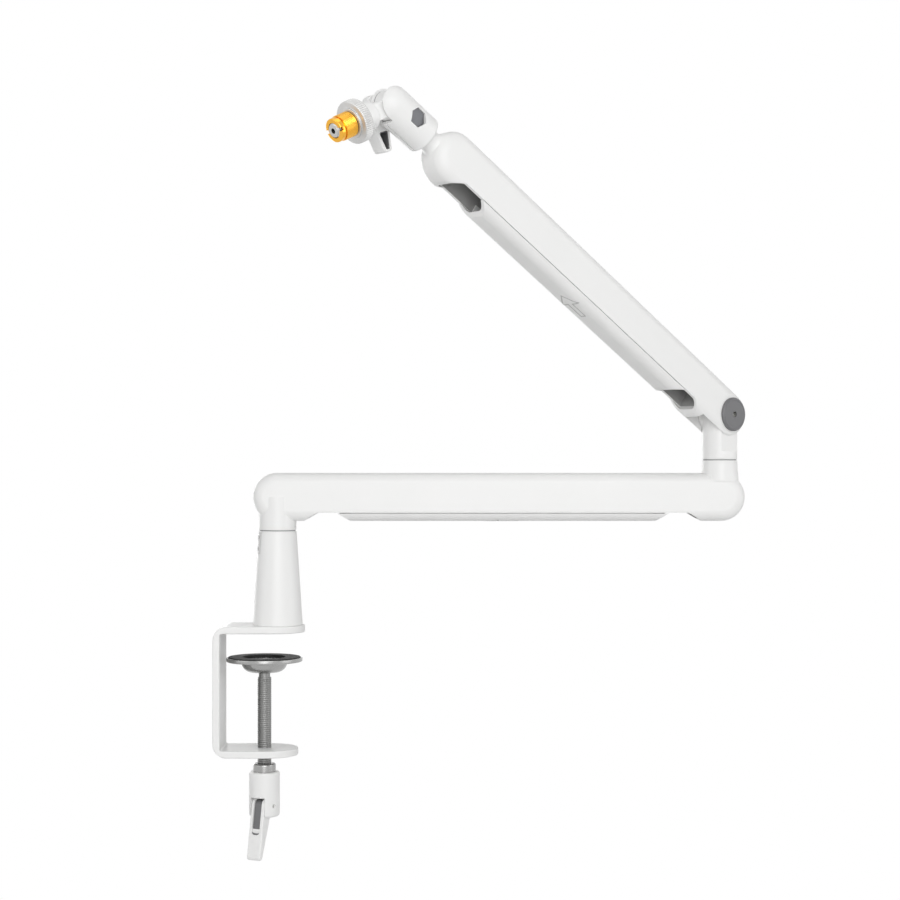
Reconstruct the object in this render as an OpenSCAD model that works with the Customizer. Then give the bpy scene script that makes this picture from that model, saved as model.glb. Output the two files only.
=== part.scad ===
// Desk-clamp boom arm for a microphone.
// The origin is on the axis of the post, at the jaw face that rests on the desk top.
// X runs along the lower arm, Z is up, and the arm frames below are named for what they carry.

/* [Stance] */
// Angle by which the upper arm is swung round from the line of the lower arm
elbow_yaw = 40; // [0:1:80]
// Angle of the upper arm above the horizontal
arm_tilt = 31.6; // [20:0.2:45]
// Angle of the microphone stud below the horizontal
mic_drop = 25.5; // [0:0.5:27]
// Swing of the tilt lever from straight down, back towards the arm
grip_swing = 20; // [0:1:40]
// Lean of the folded clamp lever away from the screw
lever_lean = 10; // [6:1:14]
// Direction in which the clamp lever folds out, from straight ahead
lever_turn = 26; // [0:1:60]

/* [Clamp bracket] */
// Width of the bent steel strip
strip_w = 42; // [38:1:50]
// Thickness of the bent steel strip
strip_t = 5.2; // [4:0.2:6]
// Height of the open jaw
jaw_h = 83; // [75:1:100]
// Outer radius of both bends
bend_r = 10; // [8:0.5:12]
// Distance from the post axis to the back of the bracket
back_x = 44.5; // [40:0.5:55]
// Distance from the post axis to the tip of the top plate
top_tip_x = 19.7; // [18:0.1:24]
// Distance from the post axis to the tip of the bottom plate
foot_tip_x = 14.8; // [12:0.1:20]

/* [Clamp screw] */
// Distance from the post axis to the screw axis
screw_back = 9.5; // [6:0.5:12]
// Major diameter of the screw thread
screw_d = 10; // [9:0.5:12]
// Lead of the screw thread
screw_lead = 1.5; // [1:0.25:2]
// Depth of the pad face below the desk jaw at rest
pad_drop = 17.8; // [16.5:0.1:30]
// Diameter of the pressure pad
pad_d = 54.7; // [50:0.1:60]
// Thickness of the steel pad plate
pad_plate_t = 1.5; // [1:0.1:2]
// Height of the rim round the pad plate
pad_rim_h = 1.4; // [1:0.1:1.7]
// Width of the rim round the pad plate
pad_rim_w = 1.2; // [0.8:0.1:2]
// Thickness of the rubber ring
rubber_t = 2; // [1.8:0.1:3]
// Inner diameter of the rubber ring
rubber_hole_d = 31; // [26:1:36]
// Thickness of the swivel cup's floor
cup_floor_t = 1; // [0.8:0.1:1.4]
// Upper diameter of the swivel cup
cup_top_d = 33; // [30:1:36]
// Lower diameter of the swivel cup
cup_low_d = 18; // [16:0.5:20]
// Height of the swivel cup
cup_h = 7.6; // [7:0.1:9]
// Diameter of the screw's neck under the cup
neck_d = 8.2; // [7:0.1:8.6]
// Length of the neck between cup and thread
neck_h = 3.6; // [3:0.1:6]
// Diameter of the button on the screw, inside the cup
button_d = 12; // [11:0.5:13]
// Gap between the bottom plate and the handle ferrule at rest
ferrule_gap = 6.1; // [6.1:0.1:12]

/* [Clamp handle] */
// Diameter of the grey ferrule
ferrule_d = 16.4; // [15:0.1:18]
// Height of the grey ferrule
ferrule_h = 6; // [5:0.5:8]
// Diameter of the handle hub
hub_d = 22; // [20:0.5:26]
// Height of the handle hub
hub_h = 32; // [28:1:36]
// Width of the hub's slot
hub_slot_w = 11.8; // [10:0.1:13]
// Height of the hub's slot
hub_slot_h = 15.5; // [14:0.5:18]
// Thickness of the hub wall behind the slot
hub_back_t = 5.5; // [4:0.5:7]
// Height of the lever pin above the bottom of the hub
pin_up = 8.2; // [7:0.1:10]
// Distance of the lever pin from the screw axis
pin_out = 3.6; // [3:0.1:4.5]
// Diameter of the lever pin
pin_d = 3; // [2.5:0.1:3.5]
// Length of the fold-out lever below its pin
lever_len = 39; // [34:1:60]
// Radius of the lever's eye
lever_eye_r = 5.4; // [4.8:0.1:5.6]
// Thickness of the lever at its tip
lever_tip_t = 4.2; // [3:0.1:6]
// Width of the window between the lever's rails
lever_window_w = 5.6; // [4:0.1:7]
// Length of the window below the pin
lever_window_len = 17; // [14:0.5:24]

/* [Post] */
// Height of the tapered post
post_h = 67.4; // [60:0.1:90]
// Diameter of the post at its foot
post_foot_d = 36; // [34:0.5:40]
// Diameter of the post at its top
post_top_d = 27.2; // [26:0.1:29]
// Depth of the cored foot of the post
post_core_h = 9; // [6:0.5:14]
// Diameter of the circle of the post's three screws
post_screw_pcd = 24; // [22:0.5:25]
// Diameter of the post's screws
post_screw_d = 5; // [4:0.5:6]
// Depth of the post's screw heads below the jaw face
screw_sink = 0.3; // [0.2:0.05:0.5]
// Length of the post's screws above the bracket
post_screw_reach = 14; // [10:1:18]
// Diameter of the steel swivel shaft
shaft_d = 12; // [10:0.5:13]
// Depth to which the swivel shaft enters the post
shaft_depth = 44; // [36:1:46]
// Wall of the bearing sleeves
sleeve_t = 2; // [1.5:0.1:2.2]
// Length of the post's bearing sleeve
sleeve_h = 34; // [24:1:35]
// Depth of the groove that the lock screws run in
groove_t = 1; // [0.8:0.1:1.5]
// Width of the lock plate
lock_w = 9.6; // [8:0.1:12]
// Height of the lock plate
lock_h = 15.4; // [14:0.1:18]
// Thickness of the lock plate
lock_t = 1.2; // [1:0.1:2]
// Depth of the lock plate's top below the top of the post
lock_down = 1; // [0.5:0.1:3]
// Distance between the two lock screws
lock_pitch = 8.2; // [7:0.1:9]
// Diameter of the lock screws
lock_screw_d = 3.4; // [3:0.1:4]
// Bearing of the lock plate, from straight ahead towards the back of the bracket
lock_turn = 72; // [50:1:90]

/* [Arm section] */
// Height of both arms
arm_h = 34.4; // [32:0.1:38]
// Width of both arms
arm_w = 24.6; // [24:0.1:28]
// Radius along the edges of both arms
edge_r = 8; // [7:0.1:9]
// Thickness of the arms' side walls
wall_t = 2.5; // [2.2:0.1:3]
// Thickness of the arms' roofs
roof_t = 6; // [4:0.1:7]
// Depth of the cable cover and of the end chins below the side walls
skirt_h = 5.9; // [5:0.1:7]
// Wall round the hollow inside of the end chins
skirt_t = 1.6; // [1.2:0.1:2.4]
// Length over which each chin slopes up to the side wall
chin_run = 10; // [8:0.5:12]
// Gap between a cover and the side walls above it
cover_gap = 0.5; // [0.3:0.05:0.8]
// Thickness of the cable covers
cover_t = 2; // [1.6:0.1:2.5]
// Thickness of a cover's two guide ribs
rib_t = 1.4; // [1:0.1:2]
// Height of a cover's two guide ribs inside the arm
rib_h = 6; // [4:0.5:8]

/* [Lower arm] */
// Distance between the axes of the lower arm
lower_len = 318; // [300:1:360]
// Height of the hub between the post and the lower arm
hub_drop = 6.5; // [5:0.1:10]
// Diameter of the hub under the lower arm
arm_hub_d = 27; // [25.5:0.1:28]
// Length of the chin at the post end, from the axis
lower_chin_a = 29.1; // [27:0.1:32]
// Length of the chin at the elbow end, from the axis
lower_chin_b = 23.5; // [22:0.1:26]
// Length of the open cable slots at both ends of the cover
slot_len = 14.4; // [12:0.1:18]
// Thickness of the thrust washers at both swivels
thrust_t = 0.8; // [0.5:0.1:1.2]

/* [Elbow] */
// Diameter of the elbow boss and knuckle
knuckle_d = 25; // [24:0.1:27]
// Height of the elbow boss above the lower arm
boss_h = 9; // [7:0.1:12]
// Diameter of the boss where it meets the arm
boss_foot_d = 27; // [26:0.1:28]
// Height of the full round part of the knuckle
knuckle_h = 5.8; // [5:0.1:8]
// Step between the knuckle's round stem and its round top
knuckle_in = 0.2; // [0.1:0.05:0.5]
// Height of the tilt axis above the round part of the knuckle
tilt_up = 26.3; // [25.8:0.1:30]
// Diameter of the elbow's vertical pin
elbow_pin_d = 10; // [8:0.5:10.5]
// Depth of the vertical pin in the knuckle
elbow_pin_grip = 13; // [9:0.5:14]
// Height of the locking nuts on both big bolts
big_nut_h = 7; // [6:0.1:8]
// Width across flats of the elbow's locking nut
big_nut_af = 15; // [13:0.5:16]
// Diameter of the vertical pin's threaded end
elbow_thread_d = 8; // [6:0.5:8]
// Diameter of the tilt bolt
tilt_bolt_d = 8; // [6:0.5:9]
// Thickness of the friction washers beside the tongue
friction_t = 0.5; // [0.4:0.05:0.8]
// Diameter of the friction washers beside the tongue
friction_d = 22; // [18:0.5:24]
// Diameter of the tilt bolt's flat heads
bolt_head_d = 14; // [12:0.5:16]
// Thickness of the tilt bolt's flat heads
bolt_head_t = 2.4; // [2:0.1:2.6]
// Depth by which the flat heads are let into the arm's walls
head_sink = 1.2; // [1:0.1:1.5]
// Diameter of the grey pivot caps
cap_d = 24; // [22:0.1:26]
// Thickness of the grey pivot caps
cap_t = 2.4; // [2.2:0.1:4]
// Diameter of the hole in the pivot caps
cap_hole_d = 4; // [3:0.1:5]

/* [Upper arm] */
// Distance from the tilt axis to the centre of the upper arm's round end
upper_len = 298; // [290:1:340]
// Length of the fork slot under the upper arm, from the tilt axis
fork_len = 24; // [23:0.1:26]
// Length of the chin at the elbow end, from the tilt axis
upper_chin_a = 38.6; // [36:0.1:42]
// Length of the chin at the head end, from the centre of the round end
upper_chin_b = 12; // [10:0.1:18]
// Length of the open cable slot at the elbow end
upper_slot_a = 11.5; // [10:0.1:16]
// Length of the open cable slot at the head end
upper_slot_b = 16.2; // [14:0.1:20]
// Diameter of the neck at the head end
head_neck_d = 14.2; // [13:0.1:16]
// Length of the neck beyond its fillet
head_neck_len = 4.4; // [1:0.1:8]
// Radius of the fillet round the neck
head_neck_fillet = 6; // [3:0.5:8]
// Length of the raised arrow on each cover
arrow_len = 28; // [20:1:36]
// Width of the raised arrow on each cover
arrow_w = 8; // [6:0.5:9]
// Height of the raised arrow on each cover
arrow_h = 0.4; // [0.3:0.05:0.6]

/* [Swivel head] */
// Diameter of the head body
head_d = 25; // [24:0.1:27]
// Length of the head body, from its flat end to the tilt axis
head_len = 31; // [30:0.5:36]
// Gap between the neck and the head body
head_gap = 0.4; // [0.3:0.05:0.6]
// Width of the slit between the two halves
slit_w = 0.8; // [0.5:0.1:1.2]
// Diameter of the steel spigot that the head turns on
spigot_d = 10; // [8:0.5:11]
// Length of the spigot inside the head
spigot_in = 12.4; // [10:0.1:12.6]
// Length of the spigot inside the arm
spigot_grip = 22; // [16:1:26]
// Distance of the pinch bolt from the tilt axis
pinch_back = 14.5; // [14:0.1:15]
// Diameter of the pinch bolt and the tilt bolt of the head
head_bolt_d = 6; // [5:0.5:6]
// Width across flats of the hexagon pockets
hex_pocket_af = 11; // [10.5:0.1:11.5]
// Width across flats of the hexagon heads
hex_af = 10.6; // [10:0.1:10.8]
// Distance of the hexagon's face from the middle plane
hex_face = 10.4; // [10:0.1:11]
// Thickness of the hexagon heads
hex_t = 4; // [3.5:0.1:4.5]
// Thickness of the mount's tongue
tongue_t = 9; // [8:0.1:9.4]
// Radius of the mount's tongue
tongue_r = 9.8; // [9:0.1:10]
// Thickness of the two washers beside the tongue
fibre_t = 1.1; // [0.8:0.1:1.3]
// Clearance round the tongue in its pocket
pocket_gap = 0.6; // [0.4:0.05:0.7]
// Distance by which the fork's opening starts behind the tilt axis
fork_back = 3; // [1:0.5:4]
// Width across flats of the captive nut
captive_af = 10; // [9.5:0.1:10.2]

/* [Microphone mount] */
// Width of the tongue's neck
mount_neck_w = 11; // [10:0.5:12]
// Diameter of the mount's shoulder
shoulder_d = 18; // [16:0.5:20]
// Distance from the tilt axis to the start of the shoulder
shoulder_start = 18.5; // [17:0.5:20]
// Distance from the tilt axis to the face of the shoulder
shoulder_face = 27.2; // [26:0.1:34]
// Diameter of the inner stud, a 3/8 inch thread
stud_d = 9.525; // [9.3:0.001:9.8]
// Length of the stud inside the shoulder
stud_grip = 10; // [8:0.5:12]
// Diameter of the hole in the end of the stud
stud_hole_d = 3.4; // [2:0.1:4]
// Diameter of the knurled ring
ring_d = 27; // [25:0.5:32]
// Thickness of the knurled ring
ring_t = 6.5; // [5:0.5:8]
// Diameter of the collar on the knurled ring
ring_collar_d = 19; // [18:0.5:22]
// Height of the collar on the knurled ring
ring_collar_h = 1.2; // [0.8:0.1:2]
// Diameter of the adapter, a 5/8 inch thread
adapter_d = 15.875; // [15.6:0.001:16.2]
// Length of the adapter
adapter_len = 13; // [11:0.5:20]
// Length of the adapter's plain slotted end
adapter_end = 4; // [3:0.1:5]
// Step between the thread and the plain slotted end
adapter_step = 0.5; // [0.3:0.1:0.8]
// Width of the slots across the adapter's end
adapter_slot_w = 2.2; // [1.5:0.1:3]
// Depth of the slots across the adapter's end
adapter_slot_h = 1.8; // [1:0.1:2.5]
// Length of the stud beyond the adapter
stud_proud = 0.6; // [0.2:0.1:2]

/* [Tilt lever] */
// Diameter of the lever's hub
grip_hub_d = 17.6; // [14:0.2:19]
// Distance from the middle plane to the inner face of the lever
grip_inner = 13.8; // [13.8:0.1:14.5]
// Depth of the lever's hub
grip_hub_t = 7; // [6:0.1:9]
// Depth of the lever's blade
grip_t = 11; // [8:0.1:13]
// Offset of the blade's front edge at the tilt axis
grip_front = 8.2; // [7:0.1:8.4]
// Offset of the blade's back edge at the tilt axis
grip_back = 7.6; // [6:0.1:8]
// Narrowing of the blade's front edge from axis to tip
grip_front_in = 5; // [3:0.1:5.4]
// Narrowing of the blade's back edge from axis to tip
grip_back_in = 4.8; // [3:0.1:5]
// Length of the lever's blade from the tilt axis
grip_len = 27.4; // [24:0.1:36]
// Distance from the tilt axis to the hollow of the blade
grip_hollow = 14.5; // [12:0.1:18]
// Wall round the hollow of the blade
grip_wall = 1.6; // [1.2:0.1:2.2]

/* [Fits] */
// Radial clearance of shafts that turn in a bore
run_gap = 0.05; // [0.02:0.01:0.09]
// Gap between faces that pass each other
pass_gap = 0.3; // [0.25:0.05:0.4]
// Gap between pieces that are pressed or screwed together
seat_gap = 0.02; // [0:0.01:0.04]

/* [Hidden] */
$fn = 64;

corner_ratio = 1 / cos(30);
eps = 1;

white = "white";
pale = "gainsboro";
steel = "silver";
grey = "dimgray";
dark = "black";
brass = "goldenrod";

// Heights along the post
post_top_z = strip_t + post_h;
hub_low_z = post_top_z + thrust_t;
lower_z = hub_low_z + hub_drop + arm_h / 2;
shaft_top_z = lower_z + arm_h / 2 - roof_t;
shaft_low_z = post_top_z - shaft_depth;
lock_top_z = post_top_z - lock_down;
lock_mid_z = lock_top_z - lock_h / 2;
post_bore_d = shaft_d + 2 * run_gap + 2 * sleeve_t;

// Heights of the clamp
foot_top_z = -jaw_h;
foot_low_z = foot_top_z - strip_t;
pad_plate_top_z = -pad_drop - rubber_t;
pad_plate_low_z = pad_plate_top_z - pad_plate_t;
cup_low_z = pad_plate_low_z - cup_h;
neck_low_z = cup_low_z - neck_h;
ferrule_top_z = foot_low_z - ferrule_gap;
handle_top_z = ferrule_top_z - ferrule_h;
handle_low_z = handle_top_z - hub_h;
pin_z = handle_low_z + pin_up;
plate_bore_d = screw_d + 2 * run_gap;
button_z = cup_low_z + cup_floor_t + pass_gap;
button_h = cup_h - cup_floor_t - 2 * pass_gap;

// Section of the arms
inner_w = arm_w - 2 * wall_t;
side_low = -arm_h / 2 + skirt_h;
roof_z = arm_h / 2 - roof_t;
cover_top = side_low - cover_gap;
rib_y = inner_w / 2 - pass_gap - rib_t;

// Elbow
boss_top_z = lower_z + arm_h / 2 + boss_h;
knuckle_z = boss_top_z + thrust_t;
ledge_z = knuckle_z + knuckle_h;
tilt_z = ledge_z + tilt_up;
elbow_bore_d = elbow_pin_d + 2 * run_gap + 2 * sleeve_t;
elbow_ceiling_z = lower_z + roof_z;
nut_seat_z = elbow_ceiling_z - 3.6;
tongue_half = inner_w / 2 - friction_t - run_gap;
tilt_bore_d = tilt_bolt_d + 2 * run_gap + 2 * sleeve_t;
fork_room = knuckle_d / 2 + 0.8;
head_face_y = arm_w / 2 - head_sink;
cap_room_t = bolt_head_t - head_sink + pass_gap;

// Head, along the upper arm
fillet_r = head_neck_d / 2 + head_neck_fillet;
neck_root_x = upper_len + sqrt(pow(arm_h / 2 + head_neck_fillet, 2) - pow(fillet_r, 2));
neck_end_x = neck_root_x + head_neck_len;
spigot_low_x = neck_end_x - spigot_grip;
head_start_x = neck_end_x + head_gap;
head_tilt_x = head_start_x + head_len;
head_bore_d = head_bolt_d + 2 * run_gap;
cheek_y = tongue_t / 2 + fibre_t + run_gap * 2;
pocket_r = tongue_r + pocket_gap;
lever_seat_y = grip_inner - pass_gap;
ring_start = shoulder_face + pass_gap;
ring_end = ring_start + ring_t;
adapter_start = ring_end + ring_collar_h + pass_gap;
adapter_stop = adapter_start + adapter_len;
stud_end = adapter_stop + stud_proud;
stud_bore_d = stud_d + 2 * run_gap;

module lower_frame() { translate([0, 0, lower_z]) children(); }

module elbow_frame() {
    translate([lower_len, 0, tilt_z]) rotate([0, 0, 180 + elbow_yaw]) children();
}

module upper_frame() { elbow_frame() rotate([0, -arm_tilt, 0]) children(); }

module head_frame() { upper_frame() translate([head_tilt_x, 0, 0]) children(); }

module mic_frame() { head_frame() rotate([0, arm_tilt + mic_drop, 0]) children(); }

module screw_frame() { translate([-screw_back, 0, 0]) children(); }

module lever_frame() {
    screw_frame() translate([0, 0, pin_z]) rotate([0, 0, -90 - lever_turn])
        translate([pin_out, 0, 0]) rotate([0, -lever_lean, 0]) children();
}

// A round bar along X from one place to another
module bar_x(x0, x1, d) { translate([x0, 0, 0]) rotate([0, 90, 0]) cylinder(h = x1 - x0, d = d); }

// A round bar along Y from one place to another
module bar_y(y0, y1, d) { translate([0, y0, 0]) rotate([-90, 0, 0]) cylinder(h = y1 - y0, d = d); }

// A round bar along Z from one place to another
module bar_z(z0, z1, d) { translate([0, 0, z0]) cylinder(h = z1 - z0, d = d); }

// A box between two corners
module block(a, b) { translate(a) cube(b - a); }

// A hexagon bar along Y, with one corner on the X axis
module hex_y(y0, y1, af) {
    translate([0, y0, 0]) rotate([-90, 0, 0]) cylinder(h = y1 - y0, d = af * corner_ratio, $fn = 6);
}

// The rounded cross-section of an arm, centred, or the same drawn in by a wall
module arm_outline(wall = 0) {
    square([arm_w - 2 * edge_r, arm_h - 2 * wall], center = true);
    square([arm_w - 2 * wall, arm_h - 2 * edge_r], center = true);
    for (sx = [-1, 1], sy = [-1, 1])
        translate([sx * (arm_w / 2 - edge_r), sy * (arm_h / 2 - edge_r)]) circle(edge_r - wall);
}

// Half of that cross-section, turned about the axis of a round end
module arm_end() {
    rotate([90, 0, 0]) rotate_extrude() {
        translate([0, -arm_w / 2 + edge_r]) square([arm_h / 2, arm_w - 2 * edge_r]);
        translate([0, -arm_w / 2]) square([arm_h / 2 - edge_r, arm_w]);
        for (s = [-1, 1]) translate([arm_h / 2 - edge_r, s * (arm_w / 2 - edge_r)]) circle(edge_r);
    }
}

// An arm's straight part, with its round edges
module arm_run(x0, x1, wall = 0) {
    translate([x0, 0, 0]) rotate([90, 0, 90]) linear_extrude(x1 - x0) arm_outline(wall);
}

// The room inside the underside of an arm or a cover, at most as wide as the channel
module skirt_room(x0, x1, wall, top_z) {
    intersection() {
        arm_run(x0, x1, wall);
        block([x0 - eps, -inner_w / 2, -arm_h / 2], [x1 + eps, inner_w / 2, top_z]);
    }
}

// An arm's outer form, round at both ends
module arm_pill(len) {
    arm_end();
    translate([len, 0, 0]) arm_end();
    arm_run(0, len);
}

// What is cut away under an arm for its cover, sloped at both ends
module trough(x0, x1) {
    run = chin_run * (skirt_h + eps) / skirt_h;
    rotate([90, 0, 0]) linear_extrude(arm_w + 2 * eps, center = true)
        polygon([[x0, side_low], [x1, side_low], [x1 + run, -arm_h / 2 - eps], [x0 - run, -arm_h / 2 - eps]]);
}

// A cable cover between two places, with its ribs and a raised arrow that points one way
module cable_cover(x0, x1, arrow_x, points) {
    run = chin_run * (skirt_h - cover_gap + eps) / skirt_h;
    rib_low = -arm_h / 2 + 1.5 * cover_t;
    difference() {
        intersection() {
            arm_run(x0, x1);
            rotate([90, 0, 0]) linear_extrude(arm_w + 2 * eps, center = true)
                polygon([[x0, cover_top], [x1, cover_top],
                    [x1 - run, -arm_h / 2 - eps], [x0 + run, -arm_h / 2 - eps]]);
        }
        skirt_room(x0 - eps, x1 + eps, cover_t, cover_top + eps);
    }
    for (s = [-1, 1])
        translate([0, s * (rib_y + rib_t / 2), 0])
            block([x0 + chin_run, -rib_t / 2, rib_low], [x1 - chin_run, rib_t / 2, cover_top + rib_h]);
    translate([arrow_x, 0, -arm_h / 2 - arrow_h]) linear_extrude(arrow_h + cover_t / 2)
        rotate([0, 0, points > 0 ? 0 : 180]) arrow_outline();
}

// An open arrow: a shaft and a head, drawn as an outline
module arrow_outline() {
    line = arrow_w / 9;
    head = arrow_len * 0.36;
    difference() {
        arrow_shape(0, head);
        arrow_shape(line, head);
    }
}

module arrow_shape(inset, head) {
    slope = arrow_w / 2 / head;
    tip_in = inset * sqrt(1 + 1 / (slope * slope));
    shaft = arrow_w / 4 - inset;
    root = arrow_len / 2 - head + inset;
    polygon([[arrow_len / 2 - tip_in, 0], [root, slope * (arrow_len / 2 - tip_in - root)],
        [root, shaft], [-arrow_len / 2 + inset, shaft], [-arrow_len / 2 + inset, -shaft],
        [root, -shaft], [root, -slope * (arrow_len / 2 - tip_in - root)]]);
}

// A plate of the strip's width from the bend to a round tip
module strip_plate(z, tip_x) {
    translate([0, 0, z]) {
        block([-back_x + bend_r, -strip_w / 2, 0], [tip_x - strip_w / 2, strip_w / 2, strip_t]);
        translate([tip_x - strip_w / 2, 0, 0]) cylinder(h = strip_t, d = strip_w);
    }
}

// A quarter bend of the strip, with its axis along Y
module strip_bend(z, up) {
    translate([-back_x + bend_r, 0, z]) intersection() {
        rotate([90, 0, 0]) difference() {
            cylinder(h = strip_w, r = bend_r, center = true);
            cylinder(h = strip_w + eps, r = bend_r - strip_t, center = true);
        }
        translate([-bend_r - eps, -strip_w / 2, up > 0 ? 0 : -bend_r - eps])
            cube([bend_r + eps, strip_w, bend_r + eps]);
    }
}

module clamp_bracket() {
    color(white) difference() {
        union() {
            strip_plate(0, top_tip_x);
            strip_plate(foot_low_z, foot_tip_x);
            strip_bend(strip_t - bend_r, 1);
            strip_bend(foot_low_z + bend_r, -1);
            block([-back_x, -strip_w / 2, foot_low_z + bend_r],
                [-back_x + strip_t, strip_w / 2, strip_t - bend_r]);
        }
        screw_frame() bar_z(foot_low_z - eps, foot_top_z + eps, plate_bore_d);
        post_screw_places() {
            bar_z(-eps, strip_t + eps, post_screw_d + 2 * run_gap);
            translate([0, 0, screw_sink]) countersink(eps);
        }
    }
}

module post_screw_places() {
    for (a = [0, 120, 240]) rotate([0, 0, a]) translate([post_screw_pcd / 2, 0, 0]) children();
}

// The cone of a countersunk head, widest at the jaw face
module countersink(extra) {
    h = post_screw_d / 2;
    cylinder(h = h, d1 = 2 * post_screw_d, d2 = post_screw_d);
    if (extra > 0) bar_z(-screw_sink - extra, 0, 2 * post_screw_d);
}

module post_screws() {
    color(steel) post_screw_places() difference() {
        union() {
            bar_z(screw_sink, strip_t + post_screw_reach, post_screw_d - 2 * seat_gap);
            translate([0, 0, screw_sink - seat_gap]) countersink(0);
        }
        cylinder(h = post_screw_d / 2, d = post_screw_d / 2 * corner_ratio, $fn = 6);
    }
}

// The taper of the post, grown or shrunk all round
module post_cone(grow) {
    translate([0, 0, strip_t])
        cylinder(h = post_h, d1 = post_foot_d + 2 * grow, d2 = post_top_d + 2 * grow);
}

module lock_frame() { rotate([0, 0, -90 - lock_turn]) children(); }

module lock_pocket(gap) {
    lock_frame() block([0, -lock_w / 2 - gap, lock_top_z - lock_h - gap],
        [post_foot_d, lock_w / 2 + gap, lock_top_z + gap]);
}

module lock_screw_bars(x0, x1, d) {
    for (s = [-1, 1]) lock_frame() translate([0, 0, lock_mid_z + s * lock_pitch / 2]) bar_x(x0, x1, d);
}

module post() {
    core_d = post_screw_pcd - 2 * post_screw_d;
    color(white) difference() {
        post_cone(0);
        bar_z(strip_t + post_core_h, post_top_z + eps, post_bore_d + 2 * seat_gap);
        bar_z(strip_t - eps, strip_t + post_core_h + eps, core_d);
        post_screw_places() bar_z(strip_t - eps, strip_t + post_screw_reach + pass_gap, post_screw_d);
        difference() {
            lock_pocket(seat_gap);
            post_cone(-lock_t);
        }
        lock_screw_bars(0, post_foot_d, lock_screw_d);
    }
}

module post_sleeve() {
    color(brass) difference() {
        bar_z(post_top_z - sleeve_h, post_top_z, post_bore_d);
        bar_z(post_top_z - sleeve_h - eps, post_top_z + eps, shaft_d + 2 * run_gap);
        lock_screw_bars(0, post_foot_d, lock_screw_d + 2 * pass_gap);
    }
}

module lock_plate() {
    color(pale) difference() {
        intersection() {
            post_cone(0);
            lock_pocket(0);
        }
        post_cone(-lock_t + seat_gap);
        lock_screw_bars(0, post_foot_d, lock_screw_d + 2 * seat_gap);
    }
}

module lock_screws() {
    tip = shaft_d / 2 - groove_t + pass_gap;
    tail = post_top_d / 2 - 0.2;
    color(grey) difference() {
        lock_screw_bars(tip, tail, lock_screw_d - 2 * seat_gap);
        for (s = [-1, 1]) lock_frame() translate([tail - 1.4, 0, lock_mid_z + s * lock_pitch / 2])
            rotate([0, 90, 0]) cylinder(h = 2, d = lock_screw_d / 2, $fn = 6);
    }
}

module post_washer() {
    color(dark) difference() {
        bar_z(post_top_z, hub_low_z, post_top_d - 1.6);
        bar_z(post_top_z - eps, hub_low_z + eps, shaft_d + 2 * pass_gap);
    }
}

module swivel_shaft() {
    color(steel) difference() {
        bar_z(shaft_low_z, shaft_top_z, shaft_d);
        for (s = [-1, 1]) translate([0, 0, lock_mid_z + s * lock_pitch / 2])
            difference() {
                cylinder(h = lock_screw_d + 2 * pass_gap, d = shaft_d + eps, center = true);
                cylinder(h = lock_screw_d + 4 * pass_gap, d = shaft_d - 2 * groove_t, center = true);
            }
    }
}

module lower_arm() {
    color(white) difference() {
        union() {
            lower_frame() arm_pill(lower_len);
            bar_z(hub_low_z, lower_z, arm_hub_d);
            translate([lower_len, 0, lower_z + roof_z])
                cylinder(h = boss_h + roof_t, d1 = boss_foot_d, d2 = knuckle_d);
        }
        lower_frame() {
            trough(lower_chin_a, lower_len - lower_chin_b);
            block([arm_hub_d / 2 + 2, -inner_w / 2, side_low], [lower_len, inner_w / 2, roof_z]);
            skirt_room(lower_chin_a - chin_run, lower_len - lower_chin_b + chin_run, skirt_t, side_low + eps);
        }
        translate([lower_len, 0, 0]) {
            bar_z(lower_z + side_low, elbow_ceiling_z, inner_w);
            bar_z(elbow_ceiling_z - eps, boss_top_z + eps, elbow_bore_d + 2 * seat_gap);
        }
        bar_z(hub_low_z - eps, shaft_top_z + seat_gap, shaft_d + 2 * seat_gap);
    }
}

module lower_cover() {
    x0 = lower_chin_a + slot_len;
    x1 = lower_len - lower_chin_b - slot_len;
    color(white) lower_frame() cable_cover(x0, x1, (x0 + x1) / 2, -1);
}

module elbow_sleeve() {
    color(brass) translate([lower_len, 0, 0]) difference() {
        bar_z(elbow_ceiling_z, boss_top_z, elbow_bore_d);
        bar_z(elbow_ceiling_z - eps, boss_top_z + eps, elbow_pin_d + 2 * run_gap);
    }
}

module elbow_washer() {
    color(dark) translate([lower_len, 0, 0]) difference() {
        bar_z(boss_top_z, knuckle_z, knuckle_d - 1.4);
        bar_z(boss_top_z - eps, knuckle_z + eps, elbow_pin_d + 2 * pass_gap);
    }
}

module elbow_knuckle() {
    color(white) translate([lower_len, 0, 0]) rotate([0, 0, elbow_yaw]) difference() {
        union() {
            bar_z(knuckle_z, ledge_z, knuckle_d);
            intersection() {
                bar_z(knuckle_z, tilt_z, knuckle_d);
                block([-knuckle_d, -tongue_half, knuckle_z], [knuckle_d, tongue_half, tilt_z]);
            }
            translate([0, 0, tilt_z]) bar_y(-tongue_half, tongue_half, knuckle_d - 2 * knuckle_in);
        }
        bar_z(knuckle_z - eps, knuckle_z + elbow_pin_grip, elbow_pin_d);
        translate([0, 0, tilt_z]) bar_y(-knuckle_d, knuckle_d, tilt_bore_d + 2 * seat_gap);
    }
}

module elbow_pin() {
    color(steel) translate([lower_len, 0, 0]) {
        bar_z(elbow_ceiling_z + 0.4, knuckle_z + elbow_pin_grip, elbow_pin_d);
        bar_z(nut_seat_z - big_nut_h - 1, elbow_ceiling_z + eps, elbow_thread_d);
    }
}

module elbow_spring_washers() {
    color(steel) translate([lower_len, 0, 0]) for (i = [0, 1]) difference() {
        bar_z(nut_seat_z + 1.8 * i, nut_seat_z + 1.8 * i + 1.6, inner_w - 4 * pass_gap);
        bar_z(nut_seat_z - eps, elbow_ceiling_z, elbow_thread_d + 2 * run_gap);
    }
}

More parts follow.
